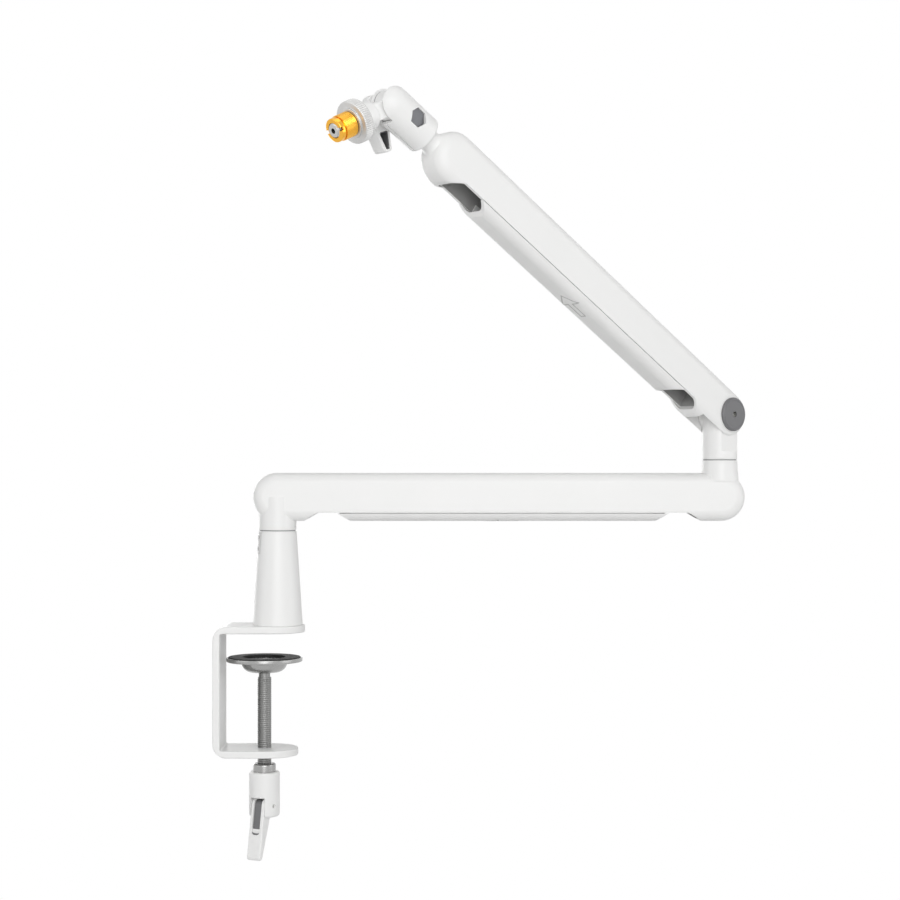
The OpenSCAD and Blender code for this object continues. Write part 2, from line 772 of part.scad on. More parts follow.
module elbow_nut() {
    color(steel) translate([lower_len, 0, 0]) difference() {
        translate([0, 0, nut_seat_z - big_nut_h])
            cylinder(h = big_nut_h, d = big_nut_af * corner_ratio, $fn = 6);
        bar_z(nut_seat_z - big_nut_h - eps, nut_seat_z + eps, elbow_thread_d + 2 * seat_gap);
    }
}

module tilt_sleeve() {
    color(brass) elbow_frame() difference() {
        bar_y(-tongue_half, tongue_half, tilt_bore_d);
        bar_y(-tongue_half - eps, tongue_half + eps, tilt_bolt_d + 2 * run_gap);
    }
}

// The hollow fillet between the round end of the upper arm and its neck, tangent to both
module neck_fillet() {
    share = arm_h / 2 / (arm_h / 2 + head_neck_fillet);
    root_x = upper_len + share * (neck_root_x - upper_len);
    rotate([0, 90, 0]) rotate_extrude() difference() {
        translate([0, root_x]) square([share * fillet_r, neck_root_x - root_x]);
        translate([fillet_r, neck_root_x]) circle(head_neck_fillet);
    }
}

module upper_arm() {
    cavity_x = upper_chin_a - chin_run;
    cavity_end = upper_len - upper_chin_b + chin_run / 2;
    color(white) upper_frame() difference() {
        union() {
            arm_pill(upper_len);
            bar_x(upper_len, neck_end_x, head_neck_d);
            neck_fillet();
        }
        trough(upper_chin_a, upper_len - upper_chin_b);
        block([cavity_x, -inner_w / 2, side_low], [cavity_end, inner_w / 2, roof_z]);
        skirt_room(cavity_x, upper_len - upper_chin_b + chin_run, skirt_t, side_low + eps);
        block([0, -inner_w / 2, -arm_h], [fork_len, inner_w / 2, 0]);
        block([-arm_h, -inner_w / 2, -arm_h], [0, inner_w / 2, fork_room]);
        bar_y(-inner_w / 2, inner_w / 2, 2 * fork_room);
        bar_y(-arm_w, arm_w, tilt_bolt_d + 2 * seat_gap);
        for (s = [0, 1]) mirror([0, s, 0]) bar_y(head_face_y, arm_w, bolt_head_d + 2 * seat_gap);
        bar_x(spigot_low_x, neck_end_x + eps, spigot_d + 2 * seat_gap);
    }
}

module friction_washers() {
    color(grey) upper_frame() for (s = [0, 1]) mirror([0, s, 0]) difference() {
        bar_y(tongue_half + run_gap, inner_w / 2, friction_d);
        bar_y(0, arm_w, tilt_bolt_d + 2 * pass_gap);
    }
}

module tilt_bolt() {
    color(steel) upper_frame() difference() {
        union() {
            bar_y(-inner_w / 2 + 4, arm_w / 2, tilt_bolt_d);
            bar_y(head_face_y, head_face_y + bolt_head_t, bolt_head_d);
        }
        hex_y(arm_w / 2 - 2, arm_w, tilt_bolt_d / 2);
    }
}

module tilt_nut() {
    color(steel) upper_frame() mirror([0, 1, 0]) difference() {
        union() {
            bar_y(inner_w / 2 - 4 + seat_gap, arm_w / 2, tilt_bolt_d);
            bar_y(head_face_y, head_face_y + bolt_head_t, bolt_head_d);
        }
        hex_y(arm_w / 2 - 2, arm_w, tilt_bolt_d / 2);
    }
}

// A shallow cap over a flat bolt head, with a bevelled rim and a hole for a hexagon key
module pivot_cap() {
    bevel = cap_t / 2;
    difference() {
        union() {
            bar_y(arm_w / 2, arm_w / 2 + cap_t - bevel, cap_d);
            translate([0, arm_w / 2 + cap_t - bevel, 0]) rotate([-90, 0, 0])
                cylinder(h = bevel, d1 = cap_d, d2 = cap_d - 2 * bevel);
        }
        bar_y(0, arm_w / 2 + cap_room_t, bolt_head_d + 2 * pass_gap);
        bar_y(0, arm_w, cap_hole_d);
    }
}

module near_pivot_cap() { color(grey) upper_frame() pivot_cap(); }

module far_pivot_cap() { color(grey) upper_frame() mirror([0, 1, 0]) pivot_cap(); }

module head_spigot() {
    color(steel) upper_frame() difference() {
        bar_x(spigot_low_x, head_start_x + spigot_in, spigot_d);
        translate([head_start_x + spigot_in, 0, 0]) rotate([0, 90, 0]) rotate_extrude()
            translate([spigot_d / 2, -spigot_in / 2]) circle(r = groove_t);
    }
}

module upper_cover() {
    x0 = upper_chin_a + upper_slot_a;
    x1 = upper_len - upper_chin_b - upper_slot_b;
    color(white) upper_frame() cable_cover(x0, x1, (x0 + x1) / 2, 1);
}

// The round body of the head, in its own frame with the tilt axis along Y
module head_body() {
    corner = 2;
    bar_x(-head_len + corner, 0, head_d);
    bar_x(-head_len, -head_len + corner + eps, head_d - 2 * corner);
    translate([-head_len + corner, 0, 0]) rotate([0, 90, 0]) rotate_extrude()
        translate([head_d / 2 - corner, 0]) circle(corner);
    sphere(d = head_d);
}

// What both halves of the head share, on the side of positive Y
module head_half() {
    difference() {
        intersection() {
            head_body();
            block([-head_len - eps, slit_w / 2, -head_d], [head_d, head_d, head_d]);
        }
        bar_y(0, cheek_y, 2 * pocket_r);
        block([-fork_back, 0, -head_d], [head_d, cheek_y, head_d]);
        bar_x(-head_len - eps, -head_len + spigot_in + pass_gap, spigot_d + 2 * run_gap);
        translate([-pinch_back, 0, 0]) {
            bar_y(0, head_d, head_bore_d);
            hex_y(hex_face - hex_t, head_d, hex_pocket_af);
        }
    }
}

module near_head_half() {
    color(white) head_frame() difference() {
        head_half();
        hex_y(0, cheek_y + hex_t, captive_af + 2 * pass_gap);
    }
}

module far_head_half() {
    color(white) head_frame() mirror([0, 1, 0]) difference() {
        union() {
            head_half();
            bar_y(head_d / 3, lever_seat_y, grip_hub_d - 1);
        }
        bar_y(0, head_d, head_bore_d);
    }
}

module pinch_bolt() {
    color(grey) head_frame() translate([-pinch_back, 0, 0]) {
        bar_y(-hex_face + 0.4, hex_face - hex_t / 2, head_bolt_d);
        hex_y(hex_face - hex_t, hex_face, hex_af);
    }
}

module pinch_nut() {
    color(grey) head_frame() translate([-pinch_back, 0, 0]) difference() {
        hex_y(-hex_face, -hex_face + hex_t, hex_af);
        bar_y(-hex_face - eps, 0, head_bolt_d + 2 * seat_gap);
    }
}

module captive_nut() {
    color(steel) head_frame() difference() {
        hex_y(cheek_y + 0.1, cheek_y + hex_t, captive_af);
        bar_y(0, head_d, head_bore_d);
    }
}

module fibre_washers() {
    color(dark) head_frame() for (s = [0, 1]) mirror([0, s, 0]) difference() {
        bar_y(tongue_t / 2 + run_gap, tongue_t / 2 + run_gap + fibre_t, 2 * tongue_r - 1);
        bar_y(0, head_d, head_bore_d);
    }
}

module mount_tongue() {
    color(pale) mic_frame() difference() {
        union() {
            bar_y(-tongue_t / 2, tongue_t / 2, 2 * tongue_r);
            block([0, -tongue_t / 2, -mount_neck_w / 2],
                [shoulder_start + 1, tongue_t / 2, mount_neck_w / 2]);
            translate([shoulder_start - 3, 0, 0]) rotate([0, 90, 0])
                cylinder(h = 3, d1 = mount_neck_w, d2 = shoulder_d);
            bar_x(shoulder_start, shoulder_face, shoulder_d);
        }
        bar_y(-head_d, head_d, head_bore_d);
        bar_x(shoulder_face - stud_grip, shoulder_face + eps, stud_d + 2 * seat_gap);
    }
}

module mic_stud() {
    hole_depth = stud_end - adapter_start;
    color(steel) mic_frame() difference() {
        bar_x(shoulder_face - stud_grip, stud_end, stud_d);
        bar_x(stud_end - hole_depth, stud_end + eps, stud_hole_d);
    }
}

module lock_ring() {
    flute = 0.5;
    count = 48;
    color(pale) mic_frame() difference() {
        union() {
            bar_x(ring_start, ring_end, ring_d);
            bar_x(ring_end - eps, ring_end + ring_collar_h, ring_collar_d);
        }
        bar_x(ring_start - eps, adapter_start, stud_bore_d);
        for (i = [0 : count - 1]) rotate([360 * i / count, 0, 0])
            translate([0, 0, ring_d / 2 + flute / 2]) rotate([45, 0, 0])
                block([ring_start + ring_t / 4, -flute, -flute], [ring_end - ring_t / 6, flute, flute]);
    }
}

module thread_adapter() {
    color(brass) mic_frame() difference() {
        union() {
            bar_x(adapter_start, adapter_stop - adapter_end, adapter_d);
            bar_x(adapter_start, adapter_stop, adapter_d - 2 * adapter_step);
        }
        bar_x(adapter_start - eps, adapter_stop + eps, stud_bore_d);
        block([adapter_stop - adapter_slot_h, -adapter_d, -adapter_slot_w / 2],
            [adapter_stop + eps, adapter_d, adapter_slot_w / 2]);
    }
}

// The outline of the lever's blade, shrunk by an inset, from a place below the axis
module blade_outline(inset, from) {
    to = grip_len - inset;
    corner = 1.5 - inset / 2;
    f0 = grip_front - inset - grip_front_in * from / grip_len;
    f1 = grip_front - inset - grip_front_in;
    b0 = -grip_back + inset + grip_back_in * from / grip_len;
    b1 = -grip_back + inset + grip_back_in;
    polygon([[f0, -from], [f1, -to + corner], [f1 - corner, -to],
        [b1 + corner, -to], [b1, -to + corner], [b0, -from]]);
}

module tilt_lever() {
    hub_end = grip_inner + grip_hub_t;
    outer = grip_inner + grip_t;
    color(white) head_frame() rotate([0, arm_tilt + grip_swing, 0]) mirror([0, 1, 0]) difference() {
        union() {
            bar_y(grip_inner, hub_end, grip_hub_d);
            translate([0, outer, 0]) rotate([90, 0, 0]) linear_extrude(grip_t) blade_outline(0, 0);
        }
        translate([0, outer - grip_wall, 0]) rotate([90, 0, 0]) linear_extrude(grip_t)
            blade_outline(grip_wall, grip_hollow);
        bar_y(0, hub_end - grip_wall, head_bolt_d + 2 * seat_gap);
    }
}

module lever_bolt() {
    tail = grip_inner + grip_hub_t - grip_wall - seat_gap;
    color(steel) head_frame() bar_y(-tail, cheek_y + hex_t - 0.4, head_bolt_d);
}

module pad_rubber() {
    color(dark) screw_frame() difference() {
        bar_z(pad_plate_top_z, -pad_drop, pad_d - 2 * pad_rim_w - 2 * seat_gap);
        bar_z(pad_plate_top_z - eps, -pad_drop + eps, rubber_hole_d);
    }
}

module pad_plate() {
    color(steel) screw_frame() difference() {
        bar_z(pad_plate_low_z, pad_plate_top_z + pad_rim_h, pad_d);
        bar_z(pad_plate_top_z, -pad_drop, pad_d - 2 * pad_rim_w);
    }
}

module pad_cup() {
    flare = min((cup_top_d - cup_low_d) / 2, cup_h);
    color(steel) screw_frame() difference() {
        translate([0, 0, cup_low_z]) rotate_extrude() {
            square([cup_low_d / 2, cup_h]);
            translate([cup_low_d / 2, cup_h]) intersection() {
                circle(flare);
                translate([-eps, -flare]) square([flare + eps, flare]);
            }
        }
        bar_z(cup_low_z - eps, pad_plate_low_z, neck_d + 2 * run_gap);
        bar_z(cup_low_z + cup_floor_t, pad_plate_low_z + eps, button_d + 2 * pass_gap);
    }
}

module clamp_screw() {
    color(grey) screw_frame() {
        bar_z(button_z, button_z + button_h, button_d);
        bar_z(neck_low_z - eps, button_z + eps, neck_d);
        bar_z(ferrule_top_z - ferrule_h - hub_h / 3, neck_low_z, screw_d);
    }
}

module handle_ferrule() {
    color(grey) screw_frame() difference() {
        bar_z(handle_top_z, ferrule_top_z, ferrule_d);
        bar_z(handle_top_z - eps, ferrule_top_z + eps, screw_d + 2 * seat_gap);
    }
}

module handle_hub() {
    color(white) screw_frame() rotate([0, 0, -90 - lever_turn]) difference() {
        bar_z(handle_low_z, handle_top_z, hub_d);
        bar_z(handle_top_z - hub_h / 3 - seat_gap, handle_top_z + eps, screw_d + 2 * seat_gap);
        block([-hub_d / 2 + hub_back_t, -hub_slot_w / 2, handle_low_z - eps],
            [hub_d, hub_slot_w / 2, handle_low_z + hub_slot_h]);
        translate([pin_out, 0, pin_z]) bar_y(-hub_d, hub_d, pin_d);
    }
}

module lever_pin() {
    half = sqrt(pow(hub_d / 2, 2) - pow(pin_out + pin_d / 2, 2)) - 0.2;
    color(steel) lever_frame() bar_y(-half, half, pin_d - 2 * seat_gap);
}

module clamp_lever() {
    lever_w = hub_slot_w - 2 * pass_gap;
    tip_x = lever_eye_r - lever_tip_t;
    color(white) lever_frame() difference() {
        union() {
            bar_y(-lever_w / 2, lever_w / 2, 2 * lever_eye_r);
            rotate([90, 0, 0]) linear_extrude(lever_w, center = true)
                polygon([[lever_eye_r, 0], [-lever_eye_r, 0], [-lever_eye_r + 0.4, -lever_eye_r],
                    [tip_x, -lever_len + lever_tip_t / 2], [lever_eye_r, -lever_len + lever_tip_t / 2]]);
            translate([lever_eye_r - lever_tip_t / 2, 0, -lever_len + lever_tip_t / 2])
                bar_y(-lever_w / 2, lever_w / 2, lever_tip_t);
        }
        block([-lever_eye_r - eps, -lever_window_w / 2, -lever_window_len],
            [lever_eye_r + eps, lever_window_w / 2, lever_eye_r + eps]);
        bar_y(-lever_w, lever_w, pin_d + 2 * run_gap);
    }
}

clamp_bracket();
post();
post_screws();
post_sleeve();
lock_plate();
lock_screws();
post_washer();
pad_rubber();
pad_plate();
pad_cup();
clamp_screw();
handle_ferrule();
handle_hub();
lever_pin();
clamp_lever();
lower_arm();
swivel_shaft();
elbow_sleeve();
lower_cover();
elbow_washer();
elbow_knuckle();
elbow_pin();
elbow_spring_washers();
elbow_nut();
tilt_sleeve();
upper_arm();
friction_washers();
tilt_bolt();
tilt_nut();
near_pivot_cap();
far_pivot_cap();
head_spigot();
upper_cover();
near_head_half();
far_head_half();
pinch_bolt();
pinch_nut();
captive_nut();
fibre_washers();
mount_tongue();
mic_stud();
lock_ring();
thread_adapter();
tilt_lever();
lever_bolt();
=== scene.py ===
"""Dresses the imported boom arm: smooth painted castings, threads, knurls and finishes, round the CAD frame."""

import math

import bmesh
import bpy
import numpy as np
from mathutils import Matrix


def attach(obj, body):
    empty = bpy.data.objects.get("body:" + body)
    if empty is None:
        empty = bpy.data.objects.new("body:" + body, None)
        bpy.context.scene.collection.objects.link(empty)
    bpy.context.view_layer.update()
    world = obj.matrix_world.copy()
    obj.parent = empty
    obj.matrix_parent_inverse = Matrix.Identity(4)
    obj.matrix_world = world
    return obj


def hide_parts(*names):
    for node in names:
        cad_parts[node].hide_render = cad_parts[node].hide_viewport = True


bl_info = {
    "name": "Microphone boom arm",
    "version": (1, 0, 0),
    "blender": (4, 5, 0),
    "location": "View3D > Sidebar > Boom Arm",
    "description": "Builds a white desk-clamp boom arm around its CAD frame",
    "category": "Add Mesh",
}

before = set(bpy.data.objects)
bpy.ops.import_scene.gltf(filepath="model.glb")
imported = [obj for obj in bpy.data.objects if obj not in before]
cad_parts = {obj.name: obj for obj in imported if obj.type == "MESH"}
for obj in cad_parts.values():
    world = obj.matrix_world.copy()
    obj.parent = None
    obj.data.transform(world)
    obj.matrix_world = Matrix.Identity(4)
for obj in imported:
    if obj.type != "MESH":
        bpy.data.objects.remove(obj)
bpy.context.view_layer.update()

FULL_TURN = 2 * math.pi
QUARTER = math.pi / 2

# Reach of a cutter past the face that it opens
EPS = 0.0005
# Keeps two faces from lying in one plane
HAIR = 0.00001
# Gap on each side of a press fit, of a running fit, and between pieces that pass each other
SEAT = 0.00002
RUN = 0.00005
PASS = 0.0003
# Half the length of a cutter that goes right through a small piece
THROUGH = 0.02


def size(name, description, millimetres):
    """A length property, given in millimetres and kept in metres."""
    return bpy.props.FloatProperty(
        name=name, description=description, default=millimetres / 1000, unit="LENGTH", precision=4)


def angle(name, description, degrees):
    """An angle property, given in degrees and kept in radians."""
    return bpy.props.FloatProperty(
        name=name, description=description, default=math.radians(degrees), subtype="ANGLE")


def linear(hex_colour):
    """An sRGB hex colour as linear red, green, blue and alpha."""
    parts = [int(hex_colour[i:i + 2], 16) / 255 for i in (1, 3, 5)]
    return tuple(p / 12.92 if p <= 0.04045 else ((p + 0.055) / 1.055) ** 2.4 for p in parts) + (1.0,)


def colour(name, description, hex_colour):
    """A colour property, given as sRGB hex."""
    return bpy.props.FloatVectorProperty(
        name=name, description=description, default=linear(hex_colour), size=4, min=0, max=1, subtype="COLOR")


class StanceSettings(bpy.types.PropertyGroup):
    """Angles of the arms as photographed."""

    elbow_yaw: angle("Elbow yaw", "Swing of the upper arm from the line of the lower arm", 40)
    arm_tilt: angle("Arm tilt", "Upper arm above the horizontal", 31.6)
    mic_drop: angle("Stud drop", "Microphone stud below the horizontal", 25.5)
    grip_swing: angle("Tilt lever swing", "Tilt lever back from straight down", 20)
    lever_lean: angle("Clamp lever lean", "Clamp lever away from the screw", 10)
    lever_turn: angle("Clamp lever turn", "Direction of the clamp lever from straight ahead", 26)
    lock_turn: angle("Lock plate turn", "Direction of the lock plate from straight ahead", 72)


class ArmSettings(bpy.types.PropertyGroup):
    """Sizes of the two arms, their covers, post and elbow."""

    height: size("Height", "Height of both arms", 34.4)
    width: size("Width", "Width of both arms", 24.6)
    edge: size("Edge radius", "Radius along the edges of both arms", 8)
    wall: size("Wall", "Thickness of the side walls", 2.5)
    roof: size("Roof", "Thickness above the cable channel", 6)
    skirt: size("Skirt", "Depth of chins and covers below the side walls", 5.9)
    trough_drop: size("Trough's drop", "How far the cover's trough is cut on below the chins", 4)
    skirt_wall: size("Skirt wall", "Wall round the hollow inside of the chins", 1.6)
    soft: size("Soft rims", "Radius of the rims of turned ends", 0.6)
    chin_run: size("Chin slope", "Length over which a chin slopes up", 10)
    chin_round: size("Chin rounding", "Radius of the corners of the chins", 3)
    lower_length: size("Lower arm", "Distance between the lower arm's axes", 318)
    lower_chin_a: size("Chin at the post", "Length of the lower arm's first chin", 29.1)
    lower_chin_b: size("Chin at the elbow", "Length of the lower arm's second chin", 23.5)
    slot: size("Lower cable slots", "Length of the lower arm's open slots", 14.4)
    upper_length: size("Upper arm", "Tilt axis to the centre of the round end", 298)
    upper_chin_a: size("Chin by the elbow", "Length of the upper arm's first chin", 38.6)
    upper_chin_b: size("Chin by the head", "Length of the upper arm's second chin", 12)
    upper_slot_a: size("Slot by the elbow", "Open cable slot at the elbow end", 11.5)
    upper_slot_b: size("Slot by the head", "Open cable slot at the head end", 16.2)
    fork: size("Fork slot", "Length of the slot under the upper arm", 24)
    cover_gap: size("Cover gap", "Gap between a cover and the side walls", 0.5)
    cover_wall: size("Cover wall", "Thickness of the cable covers", 2)
    # Thickness of the channels' grey sheet, which is painted shade that darkens the deep cable channels
    lining: size("Lining", "Thickness of the lining in the channels", 0.15)
    rib: size("Cover ribs", "Thickness of a cover's guide ribs", 1.4)
    rib_rise: size("Rib height", "Height of the guide ribs above the cover", 6)
    arrow_length: size("Arrow length", "Length of the raised arrow", 25)
    arrow_width: size("Arrow width", "Width of the arrow's head round the cover", 16.4)
    arrow_head: size("Arrow head", "Length of the arrow's head", 11)
    arrow_shaft: size("Arrow shaft", "Width of the arrow's shaft", 4.8)
    arrow_tip: size("Arrow tip", "Arrow's tip beyond the middle of its cover", 14)
    arrow_line: size("Arrow line", "Width of the arrow's line", 0.8)
    arrow_height: size("Arrow height", "Height of the arrow's line", 0.15)
    post_height: size("Post height", "Height of the tapered post", 67.4)
    post_foot: size("Post foot", "Diameter of the post's foot", 36)
    post_top: size("Post top", "Diameter of the post's top", 27.2)
    post_core: size("Post core", "Bore through the post's foot", 10)
    lock_width: size("Lock plate width", "Width of the lock plate", 9.6)
    lock_height: size("Lock plate height", "Height of the lock plate", 15.4)
    lock_down: size("Lock plate place", "Post's top to the lock plate", 1)
    lock_in: size("Lock pocket", "Post's axis to the floor of the lock plate's pocket", 11.9)
    shaft: size("Swivel shaft", "Diameter of the swivel shaft", 12)
    sleeve: size("Sleeves", "Wall of the bearing sleeves", 2)
    hub: size("Hub", "Diameter of the hub under the lower arm", 27)
    hub_drop: size("Hub height", "Height of that hub below the arm", 6.5)
    hub_wall: size("Hub wall", "Wall between the hub and the cable channel", 2)
    washer: size("Thrust washers", "Thickness of the thrust washers", 0.8)
    boss: size("Elbow boss", "Height of the boss on the lower arm", 9)
    boss_foot: size("Boss foot", "Diameter of the boss where it meets the arm", 27)
    knuckle: size("Knuckle", "Diameter of the knuckle", 25)
    elbow_pin: size("Elbow pin", "Diameter of the vertical elbow pin", 10)
    tilt_bolt: size("Tilt bolt", "Diameter of the tilt bolt", 8)
    eye: size("Knuckle eye", "Diameter of the tongue's round end", 24.6)
    fork_room: size("Fork room", "Gap round the knuckle in the fork", 0.8)
    knuckle_round: size("Knuckle foot", "Height of the knuckle's round part", 5.8)
    tilt_up: size("Tilt axis", "Height of the tilt axis above that part", 26.3)
    tongue_half: size("Knuckle tongue", "Half the thickness of the knuckle's tongue", 9.25)
    cap: size("Pivot caps", "Diameter of the grey pivot caps", 24)
    cap_depth: size("Cap thickness", "Thickness of the grey pivot caps", 2.4)
    cap_hole: size("Cap hole", "Diameter of the hole in the caps", 4)
    cap_room: size("Cap room", "Diameter of a cap's room for the bolt's head", 14.6)
    cap_room_depth: size("Cap room depth", "Depth of that room", 1.5)
    cap_dish: size("Cap dish", "Depth of a cap's face below its rim", 0.25)
    cap_edge: size("Cap edge", "Width of a cap's raised rim", 1.2)
    spigot: size("Spigot", "Diameter of the head's spigot", 10)
    spigot_mouth: size("Spigot mouth", "Depth of the spigot's bore in the neck", 6)
    neck: size("Neck", "Diameter of the neck at the head end", 14.2)
    neck_length: size("Neck length", "Length of the neck beyond its fillet", 4.4)
    neck_fillet: size("Neck fillet", "Radius of the fillet round the neck", 6)
    neck_chamfer: size("Neck chamfer", "Chamfer of the neck's end", 0.5)
    neck_sunk: size("Neck start", "How far the fillet starts inside the round end", 0.4)


class HeadSettings(bpy.types.PropertyGroup):
    """Sizes of the swivel head, microphone mount and tilt lever."""

    body: size("Head body", "Diameter of the head body", 25)
    length: size("Head length", "Flat end of the head to the tilt axis", 31)
    gap: size("Head gap", "Gap between neck and head", 0.4)
    slit: size("Slit", "Gap between the two halves", 0.8)
    corner: size("Head corner", "Radius round the flat end of the head", 2)
    spigot_in: size("Spigot in the head", "Length of the spigot inside the head", 12.4)
    bolt: size("Head bolts", "Diameter of the pinch bolt and of the lever's bolt", 6)
    bolt_back: size("Pinch bolt place", "Pinch bolt behind the tilt axis", 14.5)
    hexagon: size("Hexagon", "Width across flats of the pinch bolt's head", 10.6)
    hexagon_room: size("Hexagon pocket", "Width across flats of the hexagon pocket", 11)
    hexagon_face: size("Hexagon face", "Hexagon's face from the middle plane", 10.4)
    hexagon_depth: size("Hexagon depth", "Thickness of the hexagon", 4)
    hexagon_rim: size("Hexagon rim", "Radius along the hexagon's edges", 0.4)
    tongue: size("Tongue", "Thickness of the mount's tongue", 9)
    tongue_radius: size("Tongue radius", "Radius of the mount's tongue", 9.8)
    cheek: size("Cheek", "Inner face of the cheeks from the middle plane", 5.7)
    pocket: size("Pocket radius", "Radius of the pocket round the tongue", 10.4)
    fork_back: size("Fork start", "Start of the fork behind the tilt axis", 3)
    tongue_rim: size("Tongue rim", "Radius along the tongue's edges", 0.9)
    neck: size("Mount neck", "Width of the tongue's neck", 11)
    shoulder: size("Shoulder", "Diameter of the mount's shoulder", 18)
    shoulder_start: size("Shoulder start", "Tilt axis to the shoulder", 18.5)
    shoulder_slope: size("Shoulder slope", "Length over which the neck widens to the shoulder", 3)
    shoulder_face: size("Shoulder face", "Tilt axis to the shoulder's face", 27.2)
    ring: size("Lock ring", "Diameter of the knurled ring", 27)
    ring_depth: size("Ring thickness", "Thickness of the knurled ring", 6.5)
    ring_edge: size("Ring edge", "Radius of the ring's edges", 0.9)
    flutes: bpy.props.IntProperty(name="Flutes", description="Flutes round the knurled ring", default=60, min=3)
    flute: size("Flute depth", "Depth of the flutes", 0.42)
    flute_in: size("Flute reach", "How far the flutes reach in from the rim", 0.6)
    collar: size("Ring collar", "Diameter of the ring's collar", 19)
    collar_depth: size("Collar height", "Height of the ring's collar", 1.2)
    adapter: size("Adapter", "Thread diameter of the adapter", 15.875)
    adapter_length: size("Adapter length", "Length of the adapter", 13)
    adapter_lead: size("Adapter lead", "Lead of the adapter's thread", 0.94)
    adapter_thread: size("Adapter thread", "Depth of the adapter's thread", 0.22)
    adapter_end: size("Adapter end", "Length of the adapter's plain end", 4)
    adapter_step: size("Adapter step", "Plain end below the thread's radius", 0.5)
    adapter_groove: size("Adapter groove", "Depth of the groove before the plain end", 1.1)
    adapter_slot: size("Adapter slot", "Width of the slot in the adapter's end", 2.2)
    adapter_slot_depth: size("Adapter slot depth", "Depth of that slot", 1.8)
    stud: size("Stud", "Thread diameter of the inner stud", 9.525)
    stud_lead: size("Stud lead", "Lead of the stud's thread", 1.5875)
    stud_thread: size("Stud thread", "Depth of the stud's thread", 0.9)
    stud_hole: size("Stud hole", "Diameter of the hole in the stud", 3.4)
    stud_proud: size("Stud end", "Length of the stud beyond the adapter", 0.6)
    grip_hub: size("Lever hub", "Diameter of the tilt lever's hub", 17.6)
    grip_inner: size("Lever place", "Lever's inner face from the middle plane", 13.8)
    grip_hub_depth: size("Lever hub depth", "Depth of the lever's hub", 7)
    grip_depth: size("Lever depth", "Depth of the lever's blade", 11)
    grip_front: size("Lever front", "Blade's front edge at the axis", 8.2)
    grip_back: size("Lever back", "Blade's back edge at the axis", 7.6)
    grip_front_in: size("Front taper", "Narrowing of the front edge", 5)
    grip_back_in: size("Back taper", "Narrowing of the back edge", 4.8)
    grip_length: size("Lever length", "Length of the blade from the axis", 27.4)
    grip_corner: size("Blade corner", "Radius of the blade's corners", 2.2)
    grip_hollow: size("Hollow start", "Axis to the hollow of the blade", 14.5)
    grip_wall: size("Lever wall", "Wall round the hollow", 1.6)


